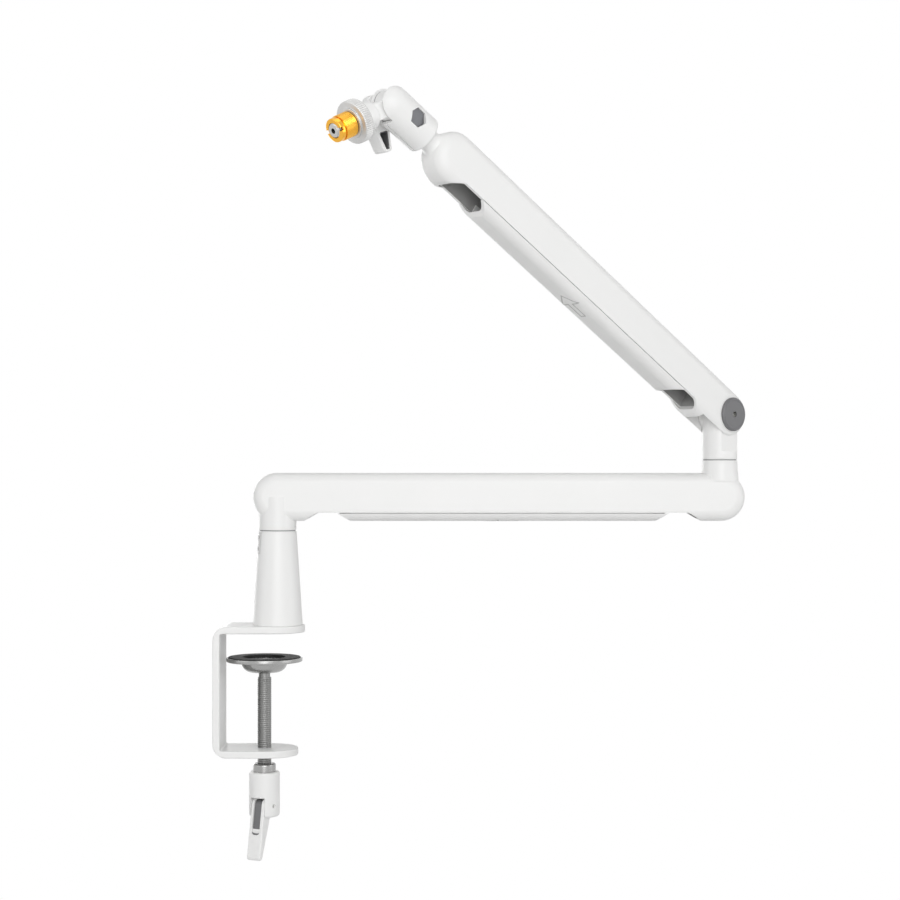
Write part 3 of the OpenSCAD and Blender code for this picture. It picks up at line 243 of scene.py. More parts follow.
class ClampSettings(bpy.types.PropertyGroup):
    """Sizes of the desk clamp."""

    strip: size("Strip width", "Width of the bent strip", 42)
    thickness: size("Strip thickness", "Thickness of the bent strip", 5.2)
    rim: size("Strip rim", "Radius along the strip's edges", 0.9)
    jaw: size("Jaw", "Height of the open jaw", 83)
    bend: size("Bend", "Outer radius of both bends", 10)
    inner_bend: size("Inner bend", "Inner radius of both bends", 1.5)
    back: size("Back", "Post axis to the back of the bracket", 44.5)
    post_screw_ring: size("Post screws' place", "Post axis to the post screws", 12)
    post_screw: size("Post screws", "Diameter of the post screws", 5)
    post_screw_sink: size("Post screws' depth", "Depth of the post screws' heads", 0.3)
    top_tip: size("Top tip", "Post axis to the tip of the top plate", 19.7)
    foot_tip: size("Foot tip", "Post axis to the tip of the bottom plate", 14.8)
    screw_back: size("Screw place", "Screw axis behind the post axis", 9.5)
    screw: size("Screw", "Diameter of the clamp screw", 10)
    lead: size("Lead", "Lead of the clamp screw", 1.5)
    thread: size("Thread", "Depth of the clamp screw's thread", 0.26)
    neck: size("Neck", "Diameter of the screw's neck", 8.2)
    neck_height: size("Neck height", "Length of the screw's neck", 3.6)
    button: size("Button", "Diameter of the screw's button", 12)
    pad_drop: size("Pad drop", "Pad face below the jaw", 17.8)
    pad: size("Pad", "Diameter of the pressure pad", 54.7)
    rubber: size("Rubber", "Thickness of the rubber ring", 2)
    rubber_hole: size("Rubber hole", "Inner diameter of the rubber ring", 31)
    plate: size("Pad plate", "Thickness of the pad plate", 1.5)
    plate_rim: size("Plate rim", "Height of the plate's rim", 1.4)
    plate_rim_wide: size("Plate rim width", "Width of the plate's rim", 1.2)
    cup_top: size("Cup top", "Upper diameter of the swivel cup", 33)
    cup_low: size("Cup bottom", "Lower diameter of the swivel cup", 18)
    cup_height: size("Cup height", "Height of the swivel cup", 7.6)
    cup_floor: size("Cup floor", "Thickness of the swivel cup's floor", 1)
    nubs: bpy.props.IntProperty(name="Nubs", description="Pressed nubs round the swivel cup", default=6, min=1)
    nub: size("Nub", "Radius of a pressed nub", 1.1)
    nub_out: size("Nub place", "Nubs outside the cup's lower rim", 1.2)
    ferrule: size("Ferrule", "Diameter of the grey ferrule", 16.4)
    ferrule_height: size("Ferrule height", "Height of the grey ferrule", 6)
    ferrule_gap: size("Ferrule gap", "Bottom plate to the ferrule", 6.1)
    hub: size("Handle hub", "Diameter of the handle hub", 22)
    hub_height: size("Hub height", "Height of the handle hub", 32)
    hub_slot: size("Hub slot", "Width of the hub's slot", 11.8)
    hub_slot_height: size("Slot height", "Height of the hub's slot", 14.2)
    hub_back: size("Slot back", "Hub wall behind the slot", 5.5)
    pin_up: size("Pin height", "Lever pin above the hub's bottom", 8.2)
    pin_out: size("Pin place", "Lever pin from the screw axis", 3.6)
    pin: size("Lever pin", "Diameter of the lever pin", 3)
    lever: size("Clamp lever", "Length of the clamp lever", 39)
    eye: size("Lever eye", "Radius of the lever's eye", 5.4)
    tip: size("Lever tip", "Thickness of the lever's tip", 4.2)
    window: size("Lever window", "Width between the lever's rails", 6.4)
    window_length: size("Window length", "Length of the window below the pin", 17)
    # The window's grey back is painted shade in the window, and the grey crescent is painted shadow in the step
    window_back: size("Window back", "Lever's front to the window's grey back", 1.4)
    step: size("Step", "Depth of the step below the window", 1.3)
    step_length: size("Step length", "Length of the step below the window", 4.2)
    # Painted shade and painted shadow: the grey back behind the window and the crescent in the step
    liner: size("Liner", "Thickness of the window's grey back", 0.8)
    crescent: size("Crescent", "Depth of the grey crescent in the step's round end", 2.2)
    crescent_top: size("Crescent's top", "Depth of the crescent's upper edge", 0.8)


class FinishSettings(bpy.types.PropertyGroup):
    """Colours of the finishes."""

    paint: colour("White powder coat", "Castings and bracket", "#F3F3F2")
    cover: colour("White moulded plastic", "Cable covers", "#F1F1F0")
    plate: colour("Lock plate", "Small plate on the post", "#D9D9D8")
    zinc: colour("Bright zinc", "Pins, bolts and stud", "#C9C9C7")
    pressing: colour("Pressed steel", "Pad plate, cup and ferrule", "#A9A9A8")
    dull_zinc: colour("Dull zinc", "Clamp screw", "#8C8C8B")
    black_oxide: colour("Black oxide", "Pinch bolt", "#6F7073")
    # Also the grey of the painted shade in both levers' hollows
    cap: colour("Grey nylon", "Pivot caps", "#6D6D6F")
    bearing: colour("Bearing brass", "Sleeves", "#B08D4A")
    gold: colour("Gold plate", "Thread adapter", "#F3B646")
    ring: colour("Nickel", "Knurled lock ring", "#CFCFCE")
    fibre: colour("Grey fibre", "Washers", "#A5A5A6")
    rubber: colour("Black rubber", "Pad ring", "#101011")
    arrow: colour("Arrow", "Raised arrows on the covers", "#BDBDBC")
    # Painted shade: the grey of the sheet in the cable channels, which stands for their shade
    lining: colour("Lining", "Inside of the cable channels", "#A8A8A7")
    floor: colour("Floor", "Plain pale floor", "#FFFFFF")


class BoomArmSettings(bpy.types.PropertyGroup):
    """All settings of the boom arm."""

    stance: bpy.props.PointerProperty(type=StanceSettings, name="Stance")
    arms: bpy.props.PointerProperty(type=ArmSettings, name="Arms")
    head: bpy.props.PointerProperty(type=HeadSettings, name="Head")
    clamp: bpy.props.PointerProperty(type=ClampSettings, name="Clamp")
    finishes: bpy.props.PointerProperty(type=FinishSettings, name="Finishes")


# Places

def shift(x=0.0, y=0.0, z=0.0):
    """A move, as a 4 by 4 matrix."""
    matrix = np.eye(4)
    matrix[:3, 3] = x, y, z
    return matrix


def turn(axis, radians):
    """A right-handed turn about X, Y or Z, as a 4 by 4 matrix."""
    c, s = math.cos(radians), math.sin(radians)
    matrix = np.eye(4)
    i, j = {"X": (1, 2), "Y": (2, 0), "Z": (0, 1)}[axis]
    matrix[i, i], matrix[j, j], matrix[i, j], matrix[j, i] = c, c, -s, s
    return matrix


HERE = np.eye(4)
ALONG_X = turn("Y", QUARTER)
ALONG_Y = turn("X", -QUARTER)
UPRIGHT = turn("X", QUARTER)
FLIP_Y = np.diag([1.0, -1.0, 1.0, 1.0])


class Places:
    """Heights and frames that several pieces share, worked out from the settings."""

    def __init__(self, boom):
        arms, head, clamp, stance = boom.arms, boom.head, boom.clamp, boom.stance
        self.post_top = clamp.thickness + arms.post_height
        self.hub_low = self.post_top + arms.washer
        self.lower_z = self.hub_low + arms.hub_drop + arms.height / 2
        self.boss_top = self.lower_z + arms.height / 2 + arms.boss
        self.knuckle_z = self.boss_top + arms.washer
        self.ledge_z = self.knuckle_z + arms.knuckle_round
        self.tilt_z = self.ledge_z + arms.tilt_up
        self.side_low = -arms.height / 2 + arms.skirt
        self.roof_z = arms.height / 2 - arms.roof
        self.inner = arms.width / 2 - arms.wall
        self.lower_span = arms.lower_chin_a, arms.lower_length - arms.lower_chin_b
        self.upper_span = arms.upper_chin_a, arms.upper_length - arms.upper_chin_b
        self.stud_bore = head.stud + 2 * RUN
        around = arms.height / 2 + arms.neck_fillet
        self.fillet_r = arms.neck / 2 + arms.neck_fillet
        self.neck_root = arms.upper_length + math.sqrt(around ** 2 - self.fillet_r ** 2)
        self.neck_end = self.neck_root + arms.neck_length
        self.head_x = self.neck_end + head.gap + head.length
        self.foot_low = -clamp.jaw - clamp.thickness
        self.plate_top = -clamp.pad_drop - clamp.rubber
        self.plate_low = self.plate_top - clamp.plate
        self.cup_low = self.plate_low - clamp.cup_height
        self.neck_low = self.cup_low - clamp.neck_height
        self.ferrule_top = self.foot_low - clamp.ferrule_gap
        self.handle_top = self.ferrule_top - clamp.ferrule_height
        self.handle_low = self.handle_top - clamp.hub_height
        self.pin_z = self.handle_low + clamp.pin_up
        self.ring_start = head.shoulder_face + PASS
        self.ring_end = self.ring_start + head.ring_depth
        self.adapter_start = self.ring_end + head.collar_depth + PASS
        self.adapter_stop = self.adapter_start + head.adapter_length

        self.lower = shift(z=self.lower_z)
        self.elbow = shift(arms.lower_length, 0, self.tilt_z) @ turn("Z", math.pi + stance.elbow_yaw)
        self.upper = self.elbow @ turn("Y", -stance.arm_tilt)
        self.head = self.upper @ shift(self.head_x)
        self.mic = self.head @ turn("Y", stance.arm_tilt + stance.mic_drop)
        self.grip = self.head @ turn("Y", stance.arm_tilt + stance.grip_swing) @ FLIP_Y
        self.knuckle = shift(arms.lower_length) @ turn("Z", stance.elbow_yaw)
        self.screw = shift(-clamp.screw_back)
        self.handle = self.screw @ turn("Z", -QUARTER - stance.lever_turn)
        self.lever = self.handle @ shift(clamp.pin_out, 0, self.pin_z) @ turn("Y", -stance.lever_lean)
        self.lock = turn("Z", -QUARTER - stance.lock_turn)


# Shapes

def rings_mesh(name, rings, place=HERE, loop=False, caps=True):
    """A closed skin through rows of points: rings[i, j] is point j of ring i, and each ring closes on itself.
    The first and last ring are capped, or joined to each other in a loop."""
    rings = np.asarray(rings, float)
    count, points = rings.shape[:2]
    i, j = np.meshgrid(np.arange(count if loop else count - 1), np.arange(points), indexing="ij")
    i_next, j_next = (i + 1) % count, (j + 1) % points
    quads = np.stack([i * points + j, i * points + j_next, i_next * points + j_next, i_next * points + j], -1)
    faces = quads.reshape(-1, 4).tolist()
    if caps and not loop:
        faces += [list(range(points))[::-1], list(range((count - 1) * points, count * points))]
    mesh = bpy.data.meshes.new(name)
    mesh.from_pydata((rings.reshape(-1, 3) @ place[:3, :3].T + place[:3, 3]).tolist(), [], faces)
    piece = bpy.data.objects.new(name, mesh)
    bpy.context.scene.collection.objects.link(piece)
    tidy(piece)
    return piece


def tidy(piece):
    """Merges doubled points, drops faces with no area and turns every face outwards."""
    cleaner = bmesh.new()
    cleaner.from_mesh(piece.data)
    bmesh.ops.remove_doubles(cleaner, verts=cleaner.verts, dist=HAIR / 10)
    bmesh.ops.dissolve_degenerate(cleaner, edges=cleaner.edges, dist=HAIR / 100)
    bmesh.ops.recalc_face_normals(cleaner, faces=cleaner.faces)
    cleaner.to_mesh(piece.data)
    cleaner.free()


def soften(outline, radius, closed=True, steps=5):
    """The outline with every corner rounded: each corner becomes an arc that leaves both sides at the same
    distance from it, never more than 0.45 of the shorter side."""
    points = np.asarray(outline, float)
    radii = np.broadcast_to(np.asarray(radius, float), len(points))
    rounded = []
    for k, corner in enumerate(points):
        if not closed and k in (0, len(points) - 1):
            rounded.append(corner[None])
            continue
        back, ahead = points[k - 1] - corner, points[(k + 1) % len(points)] - corner
        back_length, ahead_length = np.linalg.norm(back), np.linalg.norm(ahead)
        back, ahead = back / back_length, ahead / ahead_length
        half = math.acos(np.clip(back @ ahead, -1, 1)) / 2
        straight = half > QUARTER - math.radians(0.6)
        if radii[k] <= 0 or straight:
            rounded.append(corner[None])
            continue
        reach = min(radii[k] / math.tan(half), 0.45 * back_length, 0.45 * ahead_length)
        arc_r = reach * math.tan(half)
        middle = back + ahead
        centre = corner + middle / np.linalg.norm(middle) * arc_r / math.sin(half)
        start, stop = corner + back * reach - centre, corner + ahead * reach - centre
        a0 = math.atan2(start[1], start[0])
        sweep = (math.atan2(stop[1], stop[0]) - a0 + math.pi) % FULL_TURN - math.pi
        a = a0 + sweep * np.linspace(0, 1, steps + 1)
        rounded.append(centre + arc_r * np.stack([np.cos(a), np.sin(a)], 1))
    return np.concatenate(rounded)


def lathe(name, profile, place=HERE, closed=False, sides=96):
    """A turned piece: each profile point (radius, height) goes round the place's Z axis in a circle. A flat end
    is one face, without a point on the axis."""
    profile = np.asarray(profile, float)
    if not closed:
        first = profile[0, 0] == 0 and profile[0, 1] == profile[1, 1]
        last = profile[-1, 0] == 0 and profile[-1, 1] == profile[-2, 1]
        profile = profile[int(first):len(profile) - int(last)]
    a = np.arange(sides) / sides * FULL_TURN
    rings = np.stack([profile[:, :1] * np.cos(a), profile[:, :1] * np.sin(a), profile[:, 1:] + 0 * a], -1)
    return rings_mesh(name, rings, place, loop=closed)


def bar(name, low, high, diameter, place=HERE, sides=64):
    """A plain round bar along the place's Z axis."""
    return lathe(name, [(0, low), (diameter / 2, low), (diameter / 2, high), (0, high)], place, sides=sides)


def turned(name, profile, radii, place=HERE, closed=False, sides=96, steps=5):
    """A turned piece whose profile has rounded corners."""
    return lathe(name, soften(profile, radii, closed, steps), place, closed, sides)


def prism(name, outline, low, high, place=HERE, rim=0.0, steps=4):
    """An outline in the place's XY plane, carried along Z from low to high. Near both ends it shrinks along its
    own normals on a quarter circle, which rounds the rims."""
    outline = np.asarray(outline, float)
    if rim <= 0:
        rows = [(0.0, low), (0.0, high)]
    else:
        a = np.linspace(0, QUARTER, steps + 1)
        foot = [(rim * (1 - s), low + rim * (1 - c)) for s, c in zip(np.sin(a), np.cos(a))]
        rows = foot + [(inset, high - (z - low)) for inset, z in foot[::-1]]
    ahead = np.roll(outline, -1, 0) - outline
    ahead /= np.linalg.norm(ahead, axis=1, keepdims=True)
    sides = np.stack([ahead[:, 1], -ahead[:, 0]], 1)
    corner = sides + np.roll(sides, 1, 0)
    corner *= 2 / (corner ** 2).sum(1, keepdims=True)
    area = np.sum(outline[:, 0] * np.roll(outline[:, 1], -1) - np.roll(outline[:, 0], -1) * outline[:, 1])
    corner *= -math.copysign(1, area)
    rings = [np.column_stack([outline + corner * inset, np.full(len(outline), z)]) for inset, z in rows]
    return rings_mesh(name, np.stack(rings), place)


def box(name, low, high, place=HERE):
    """A plain block between two corners."""
    (x0, y0, z0), (x1, y1, z1) = low, high
    return prism(name, [(x0, y0), (x1, y0), (x1, y1), (x0, y1)], z0, z1, place)


def hexagon(flats):
    """A hexagon's corners, one on the X axis."""
    a = np.arange(6) / 6 * FULL_TURN
    return flats / math.sqrt(3) * np.stack([np.cos(a), np.sin(a)], 1)


def thread(name, crest, depth, lead, low, high, place=HERE, *, chamfer, per_turn=16, sides=48, narrow=1):
    """A screw thread: the radius dips from its crest by depth once in each lead along the axis, as a raised
    cosine to the power narrow, and the wave is set back by one lead for each turn. At both ends a cone as long
    as the chamfer brings the radius down to the root."""
    z = np.linspace(low, high, max(4, int((high - low) / lead * per_turn)))
    a = np.arange(sides) / sides * FULL_TURN
    phase = z[:, None] / lead - a / FULL_TURN
    groove = (0.5 - 0.5 * np.cos(phase * FULL_TURN)) ** narrow
    end = np.minimum(z - low, high - z)[:, None]
    radius = np.minimum(crest - depth * groove, crest - depth + end * depth / chamfer)
    rings = np.stack([radius * np.cos(a), radius * np.sin(a), z[:, None] + 0 * a], -1)
    return rings_mesh(name, rings, place)


def cut(piece, *others, operation="DIFFERENCE"):
    """Takes the other pieces away from the piece, or joins them to it, and deletes them."""
    for other in others:
        step = piece.modifiers.new("cut", "BOOLEAN")
        step.operation = operation
        step.solver = "EXACT"
        step.object = other
    graph = bpy.context.evaluated_depsgraph_get()
    result = bpy.data.meshes.new_from_object(piece.evaluated_get(graph))
    piece.modifiers.clear()
    piece.data = result
    piece.data.name = piece.name
    for other in others:
        bpy.data.objects.remove(other)
    tidy(piece)


def join(piece, *others):
    """Fuses the other pieces into the piece."""
    cut(piece, *others, operation="UNION")


def gather(piece, *others):
    """Puts the other pieces into the piece's mesh as they are, each a closed body seated in its neighbour."""
    whole = bmesh.new()
    for part in (piece, *others):
        whole.from_mesh(part.data)
    whole.to_mesh(piece.data)
    whole.free()
    for other in others:
        bpy.data.objects.remove(other)
    return piece


def dress(piece, place, finish, slot, body, *nodes, bevel=0.0, sharp=32):
    """Finishes a piece that was made in its own frame: moves its points to their place, smooths its faces but
    keeps sharp edges, bevels them where asked, gives it its finish and body, and hides the CAD nodes that it
    stands for. The slot is not used."""
    piece.data.transform(Matrix(place.tolist()))
    if np.linalg.det(place[:3, :3]) < 0:
        piece.data.flip_normals()
    piece.data.shade_smooth()
    piece.data.set_sharp_from_angle(angle=math.radians(sharp))
    if bevel > 0:
        edge = piece.modifiers.new("edges", "BEVEL")
        edge.width = bevel
        edge.segments = 2
        edge.limit_method = "ANGLE"
        edge.angle_limit = math.radians(sharp)
        edge.miter_outer = "MITER_ARC"
    flat = piece.modifiers.new("flat faces", "WEIGHTED_NORMAL")
    flat.keep_sharp = True
    piece.data.materials.clear()
    piece.data.materials.append(bpy.data.materials[finish])
    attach(piece, body)
    if nodes:
        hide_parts(*nodes)


def arm_shell(name, length):
    """An arm's outer form: the edge profile, a flat with a quarter circle at each side, is carried round a long
    loop of two straights and two half circles. Ring k is that loop at the profile's radius."""
    arms = bpy.context.scene.boom_arm.arms
    flat_y = arms.width / 2 - arms.edge
    core = arms.height / 2 - arms.edge
    a = np.linspace(0, QUARTER, 15)
    side_y = flat_y + arms.edge * np.cos(a)
    side_r = core + arms.edge * np.sin(a)
    across = np.concatenate([side_y, -side_y[::-1]])
    radius = np.concatenate([side_r, side_r[::-1]])
    half = np.linspace(-QUARTER, QUARTER, 41)
    run = np.linspace(0, length, 13)[1:-1]
    core_x = np.concatenate([0 * half + length, run[::-1], 0 * half, run])
    normal_x = np.concatenate([np.cos(half), 0 * run, -np.cos(half), 0 * run])
    normal_z = np.concatenate([np.sin(half), 0 * run + 1, -np.sin(half), 0 * run - 1])
    rings = np.stack([
        core_x + radius[:, None] * normal_x,
        across[:, None] + 0 * normal_x,
        radius[:, None] * normal_z], -1)
    return rings_mesh(name, rings)


def trough(name, x0, x1):
    """What is cut away under an arm for its cover: a trapezium with rounded corners, carried across the arm."""
    arms = bpy.context.scene.boom_arm.arms
    side_low = -arms.height / 2 + arms.skirt
    low = -arms.height / 2 - arms.trough_drop
    run = arms.chin_run * (side_low - low) / arms.skirt
    outline = soften([(x0 - run, low), (x1 + run, low), (x1, side_low), (x0, side_low)],
                     [0, 0, arms.chin_round, arms.chin_round])
    return prism(name, outline, -arms.width, arms.width, UPRIGHT)


def keel(inset, top):
    """The lower part of an arm's section up to a height, drawn in by an inset: points (y, z) down one side
    along its arc, across the flat and up the other side."""
    arms = bpy.context.scene.boom_arm.arms
    centre_y, centre_z, radius = arms.width / 2 - arms.edge, -arms.height / 2 + arms.edge, arms.edge - inset
    a = np.linspace(math.asin((centre_z - top) / radius), QUARTER, 17)
    y, z = centre_y + radius * np.cos(a), centre_z - radius * np.sin(a)
    return np.column_stack([np.concatenate([y, -y[::-1]]), np.concatenate([z, z[::-1]])])


def carry(name, section, start, stop):
    """A closed section of points (y, z) carried along X. Start and stop give the end's place at each point, so
    an end may slope."""
    share = np.linspace(0, 1, 9)[:, None]
    x = start + (stop - start) * share + 0 * section[:, 0]
    return rings_mesh(name, np.stack([x, section[:, 0] + 0 * x, section[:, 1] + 0 * x], -1))


def skirt_room(x0, x1):
    """The room inside an arm's underside, between its chins."""
    boom = bpy.context.scene.boom_arm
    arms, at = boom.arms, Places(boom)
    section = keel(arms.skirt_wall, at.side_low + EPS)
    section[:, 0] = np.clip(section[:, 0], HAIR - at.inner, at.inner - HAIR)
    return carry("skirt room", section, x0, x1)


def painted_channel_shade(name, x0, x1):
    """A thin grey sheet of painted shade on an arm's channel walls, roof and first end: a U section carried
    along.
    """
    boom = bpy.context.scene.boom_arm
    arms, at = boom.arms, Places(boom)
    wall, roof, low, film = at.inner - HAIR, at.roof_z - HAIR, at.side_low, arms.lining
    half = [(wall - film, roof - film), (wall - film, low), (wall, low), (wall, roof)]
    section = np.array(half + [(-y, z) for y, z in half[::-1]])
    return gather(carry(name, section, x0, x1), box("end", (x0 - film, -wall, low), (x0 + film, wall, roof)))


def cable_cover(name, x0, x1):
    """A cable cover: a thin shell of the arm's lower section, carried along it, with ends that slope as the
    chins do, and two guide ribs inside."""
    boom = bpy.context.scene.boom_arm
    arms, at = boom.arms, Places(boom)
    low, top = -arms.height / 2, at.side_low - arms.cover_gap
    section = np.concatenate([keel(0, top), keel(arms.cover_wall, top)[::-1]])
    slope = arms.chin_run / arms.skirt * (top - section[:, 1])
    shell = carry(name, section, x0 + slope, x1 - slope)
    rib_out = at.inner - PASS
    ribs = [box("rib", (x0 + arms.chin_run, y, low + 1.5 * arms.cover_wall),
                (x1 - arms.chin_run, y + arms.rib, top + arms.rib_rise))
            for y in (-rib_out, rib_out - arms.rib)]
    return gather(shell, *ribs)


def arrow_ring(name, tip, direction):
    """A cover's open arrow, a thin raised line: an arrow outline and a smaller one inside it, laid round the
    underside, where the distance across runs along the flat and then round the edge's circle."""
    arms = bpy.context.scene.boom_arm.arms
    line, length, wide, shaft = arms.arrow_line, arms.arrow_length, arms.arrow_width / 2, arms.arrow_shaft / 2
    slope = wide / arms.arrow_head

    def outline(inset):
        nose = length - inset * math.sqrt(1 + 1 / slope ** 2)
        root = length - arms.arrow_head + inset
        half = [(nose, 0), (root, slope * (nose - root)), (root, shaft - inset), (inset, shaft - inset)]
        return np.array(half + [(x, -y) for x, y in half[:0:-1]])

    share = np.linspace(0, 1, 12, endpoint=False)[None, :, None]
    outer, inner = ((path[:, None] * (1 - share) + np.roll(path, -1, 0)[:, None] * share).reshape(-1, 2)
                    for path in (outline(0), outline(line)))
    across = np.stack([outer, outer, inner, inner], 1)
    height = np.array([-2, 1, 1, -2]) * arms.arrow_height
    flat, radius = arms.width / 2 - arms.edge, arms.edge
    bent = np.maximum(np.abs(across[..., 1]) - flat, 0) / radius
    y = np.sign(across[..., 1]) * (np.minimum(np.abs(across[..., 1]), flat) + (radius + height) * np.sin(bent))
    z = -arms.height / 2 + radius - (radius + height) * np.cos(bent)
    return rings_mesh(name, np.stack([tip + direction * (across[..., 0] - length), y, z], -1), loop=True)


# Finishes

def add_node(tree, kind, links=None, **settings):
    """Adds one node, with its settings, and sets or links its inputs."""
    made = tree.nodes.new(kind)
    for key, value in settings.items():
        setattr(made, key, value)
    for key, value in (links or {}).items():
        if isinstance(value, bpy.types.NodeSocket):
            tree.links.new(value, made.inputs[key])
        else:
            made.inputs[key].default_value = value
    return made


def new_finish(name, base, roughness, metallic=0.0, **sockets):
    """A finish with its shader, ready for patterns: its node tree, its shader and Object coordinates."""
    finish = bpy.data.materials.new(name)
    finish.use_nodes = True
    tree = finish.node_tree
    shader = tree.nodes["Principled BSDF"]
    shader.inputs["Base Color"].default_value = base
    shader.inputs["Roughness"].default_value = roughness
    shader.inputs["Metallic"].default_value = metallic
    for key, value in sockets.items():
        shader.inputs[key].default_value = value
    finish.diffuse_color = base
    place = add_node(tree, "ShaderNodeTexCoord").outputs["Object"]
    return tree, shader, place


def tint(tree, shader, factor, first, second):
    """Mixes two colours by a pattern into the base colour."""
    blend = add_node(tree, "ShaderNodeMix", data_type="RGBA")
    tree.links.new(factor, blend.inputs["Factor"])
    ends = [socket for socket in blend.inputs if socket.type == "RGBA"]
    ends[0].default_value, ends[1].default_value = first, second
    mixed = next(socket for socket in blend.outputs if socket.type == "RGBA")
    tree.links.new(mixed, shader.inputs["Base Color"])


def gloss(tree, shader, factor, low, high):
    """Spreads the roughness over a range by a 0 to 1 pattern."""
    level = add_node(tree, "ShaderNodeMapRange", {"Value": factor, "To Min": low, "To Max": high})
    tree.links.new(level.outputs["Result"], shader.inputs["Roughness"])


def bump(tree, shader, height, distance, strength):
    """Raises the surface by a pattern, distance metres from its low to its high."""
    relief = add_node(tree, "ShaderNodeBump", {"Height": height, "Distance": distance, "Strength": strength})
    tree.links.new(relief.outputs["Normal"], shader.inputs["Normal"])


def shaded(base, share):
    """A colour darkened to a share of itself."""
    return tuple(c * share for c in base[:3]) + (1.0,)


def powder_coat(name, base, roughness):
    """Electrostatic powder coat, baked in an oven: satin, with the low orange-peel waves that the powder leaves
    as it flows out, about 1.2 mm apart and a few microns high."""
    tree, shader, place = new_finish(name, base, roughness, IOR=1.5)
    peel = add_node(tree, "ShaderNodeTexNoise",
                    {"Vector": place, "Scale": 850.0, "Detail": 2.0, "Roughness": 0.4})
    cloud = add_node(tree, "ShaderNodeTexNoise", {"Vector": place, "Scale": 22.0, "Detail": 3.0})
    tint(tree, shader, cloud.outputs["Fac"], base, shaded(base, 0.985))
    gloss(tree, shader, cloud.outputs["Fac"], roughness - 0.04, roughness + 0.05)
    bump(tree, shader, peel.outputs["Fac"], 0.00001, 0.6)


def moulded_plastic(name, base, roughness):
    """Injection-moulded ABS or nylon from a spark-eroded mould: an even, fine grain, about 0.4 mm apart,
    drawn a little coarse so that it shows."""
    tree, shader, place = new_finish(name, base, roughness, IOR=1.54)
    grain = add_node(tree, "ShaderNodeTexVoronoi", {"Vector": place, "Scale": 2600.0}, feature="SMOOTH_F1")
    cloud = add_node(tree, "ShaderNodeTexNoise", {"Vector": place, "Scale": 60.0, "Detail": 2.0})
    tint(tree, shader, cloud.outputs["Fac"], base, shaded(base, 0.96))
    gloss(tree, shader, cloud.outputs["Fac"], roughness - 0.04, roughness + 0.05)
    bump(tree, shader, grain.outputs["Distance"], 0.00002, 0.5)


def plated_steel(name, base, roughness):
    """Steel turned or pressed, then zinc plated: a metal gloss with faint clouds from the bath and fine lines
    left by the tool, about 0.3 mm apart."""
    tree, shader, place = new_finish(name, base, roughness, 1.0)
    lines = add_node(tree, "ShaderNodeTexWave",
                     {"Vector": place, "Scale": 900.0, "Distortion": 3.0, "Detail": 2.0}, bands_direction="Z")
    cloud = add_node(tree, "ShaderNodeTexNoise", {"Vector": place, "Scale": 150.0, "Detail": 4.0})
    tint(tree, shader, cloud.outputs["Fac"], base, shaded(base, 0.8))
    gloss(tree, shader, cloud.outputs["Fac"], roughness - 0.06, roughness + 0.1)
    bump(tree, shader, lines.outputs["Fac"], 0.000004, 0.4)


def gold_plate(name, base, roughness):
    """Brass, turned and gold plated: a deep warm mirror with a few rub marks."""
    tree, shader, place = new_finish(name, base, roughness, 1.0)
    cloud = add_node(tree, "ShaderNodeTexNoise", {"Vector": place, "Scale": 300.0, "Detail": 3.0})
    tint(tree, shader, cloud.outputs["Fac"], base, shaded(base, 0.85))
    gloss(tree, shader, cloud.outputs["Fac"], roughness - 0.05, roughness + 0.1)


def vulcanised_rubber(name, base, roughness):
    """Vulcanised rubber from a steel mould: black, nearly matt, with a sandy grain 0.5 mm apart."""
    tree, shader, place = new_finish(name, base, roughness, IOR=1.52)
    grain = add_node(tree, "ShaderNodeTexNoise", {"Vector": place, "Scale": 2000.0, "Detail": 3.0})
    tint(tree, shader, grain.outputs["Fac"], base, shaded(base, 0.6))
    gloss(tree, shader, grain.outputs["Fac"], roughness - 0.08, roughness + 0.1)
    bump(tree, shader, grain.outputs["Fac"], 0.00005, 0.6)


# Each finish: how it is made, its colour's setting, its roughness and the nodes that wear it
FINISHES = {
    "powder coat": (powder_coat, "paint", 0.42, "clamp_bracket post handle_hub clamp_lever lower_arm "
                    "elbow_knuckle upper_arm near_head_half far_head_half tilt_lever mount_tongue"),
    "moulded cover": (moulded_plastic, "cover", 0.45, "lower_cover upper_cover"),
    "arrow line": (moulded_plastic, "arrow", 0.5, ""),
    # Painted shade: the channels' grey sheet darkens them as shade would
    "channel lining": (moulded_plastic, "lining", 0.65, ""),
    "lock plate paint": (powder_coat, "plate", 0.42, "lock_plate"),
    "bright zinc": (plated_steel, "zinc", 0.28, "post_screws lever_pin swivel_shaft elbow_pin "
                    "elbow_spring_washers elbow_nut tilt_bolt tilt_nut head_spigot captive_nut mic_stud "
                    "lever_bolt"),
    "pressed steel": (plated_steel, "pressing", 0.24, "pad_plate pad_cup handle_ferrule"),
    "dull zinc": (plated_steel, "dull_zinc", 0.4, "clamp_screw lock_screws"),
    "nickel": (plated_steel, "ring", 0.48, "lock_ring"),
    "black oxide": (plated_steel, "black_oxide", 0.45, "pinch_bolt pinch_nut"),
    # The pivot caps' nylon grey; the same grey is painted shade in both levers' hollows
    "grey nylon": (moulded_plastic, "cap", 0.5, "near_pivot_cap far_pivot_cap"),
    "bearing brass": (gold_plate, "bearing", 0.3, "post_sleeve elbow_sleeve tilt_sleeve"),
    "gold plate": (gold_plate, "gold", 0.18, "thread_adapter"),
    "grey fibre": (moulded_plastic, "fibre", 0.7, "post_washer elbow_washer friction_washers fibre_washers"),
    "black rubber": (vulcanised_rubber, "rubber", 0.7, "pad_rubber"),
}


class BOOM_OT_finishes(bpy.types.Operator):
    """Makes the finishes and puts them on the CAD pieces"""

    bl_idname = "boom.finishes"
    bl_label = "Finishes"

    def execute(self, context):
        shades = context.scene.boom_arm.finishes
        for finish, (make, shade, roughness, nodes) in FINISHES.items():
            make(finish, tuple(getattr(shades, shade)), roughness)
            for node in nodes.split():
                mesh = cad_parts[node].data
                mesh.materials.clear()
                mesh.materials.append(bpy.data.materials[finish])
        return {"FINISHED"}


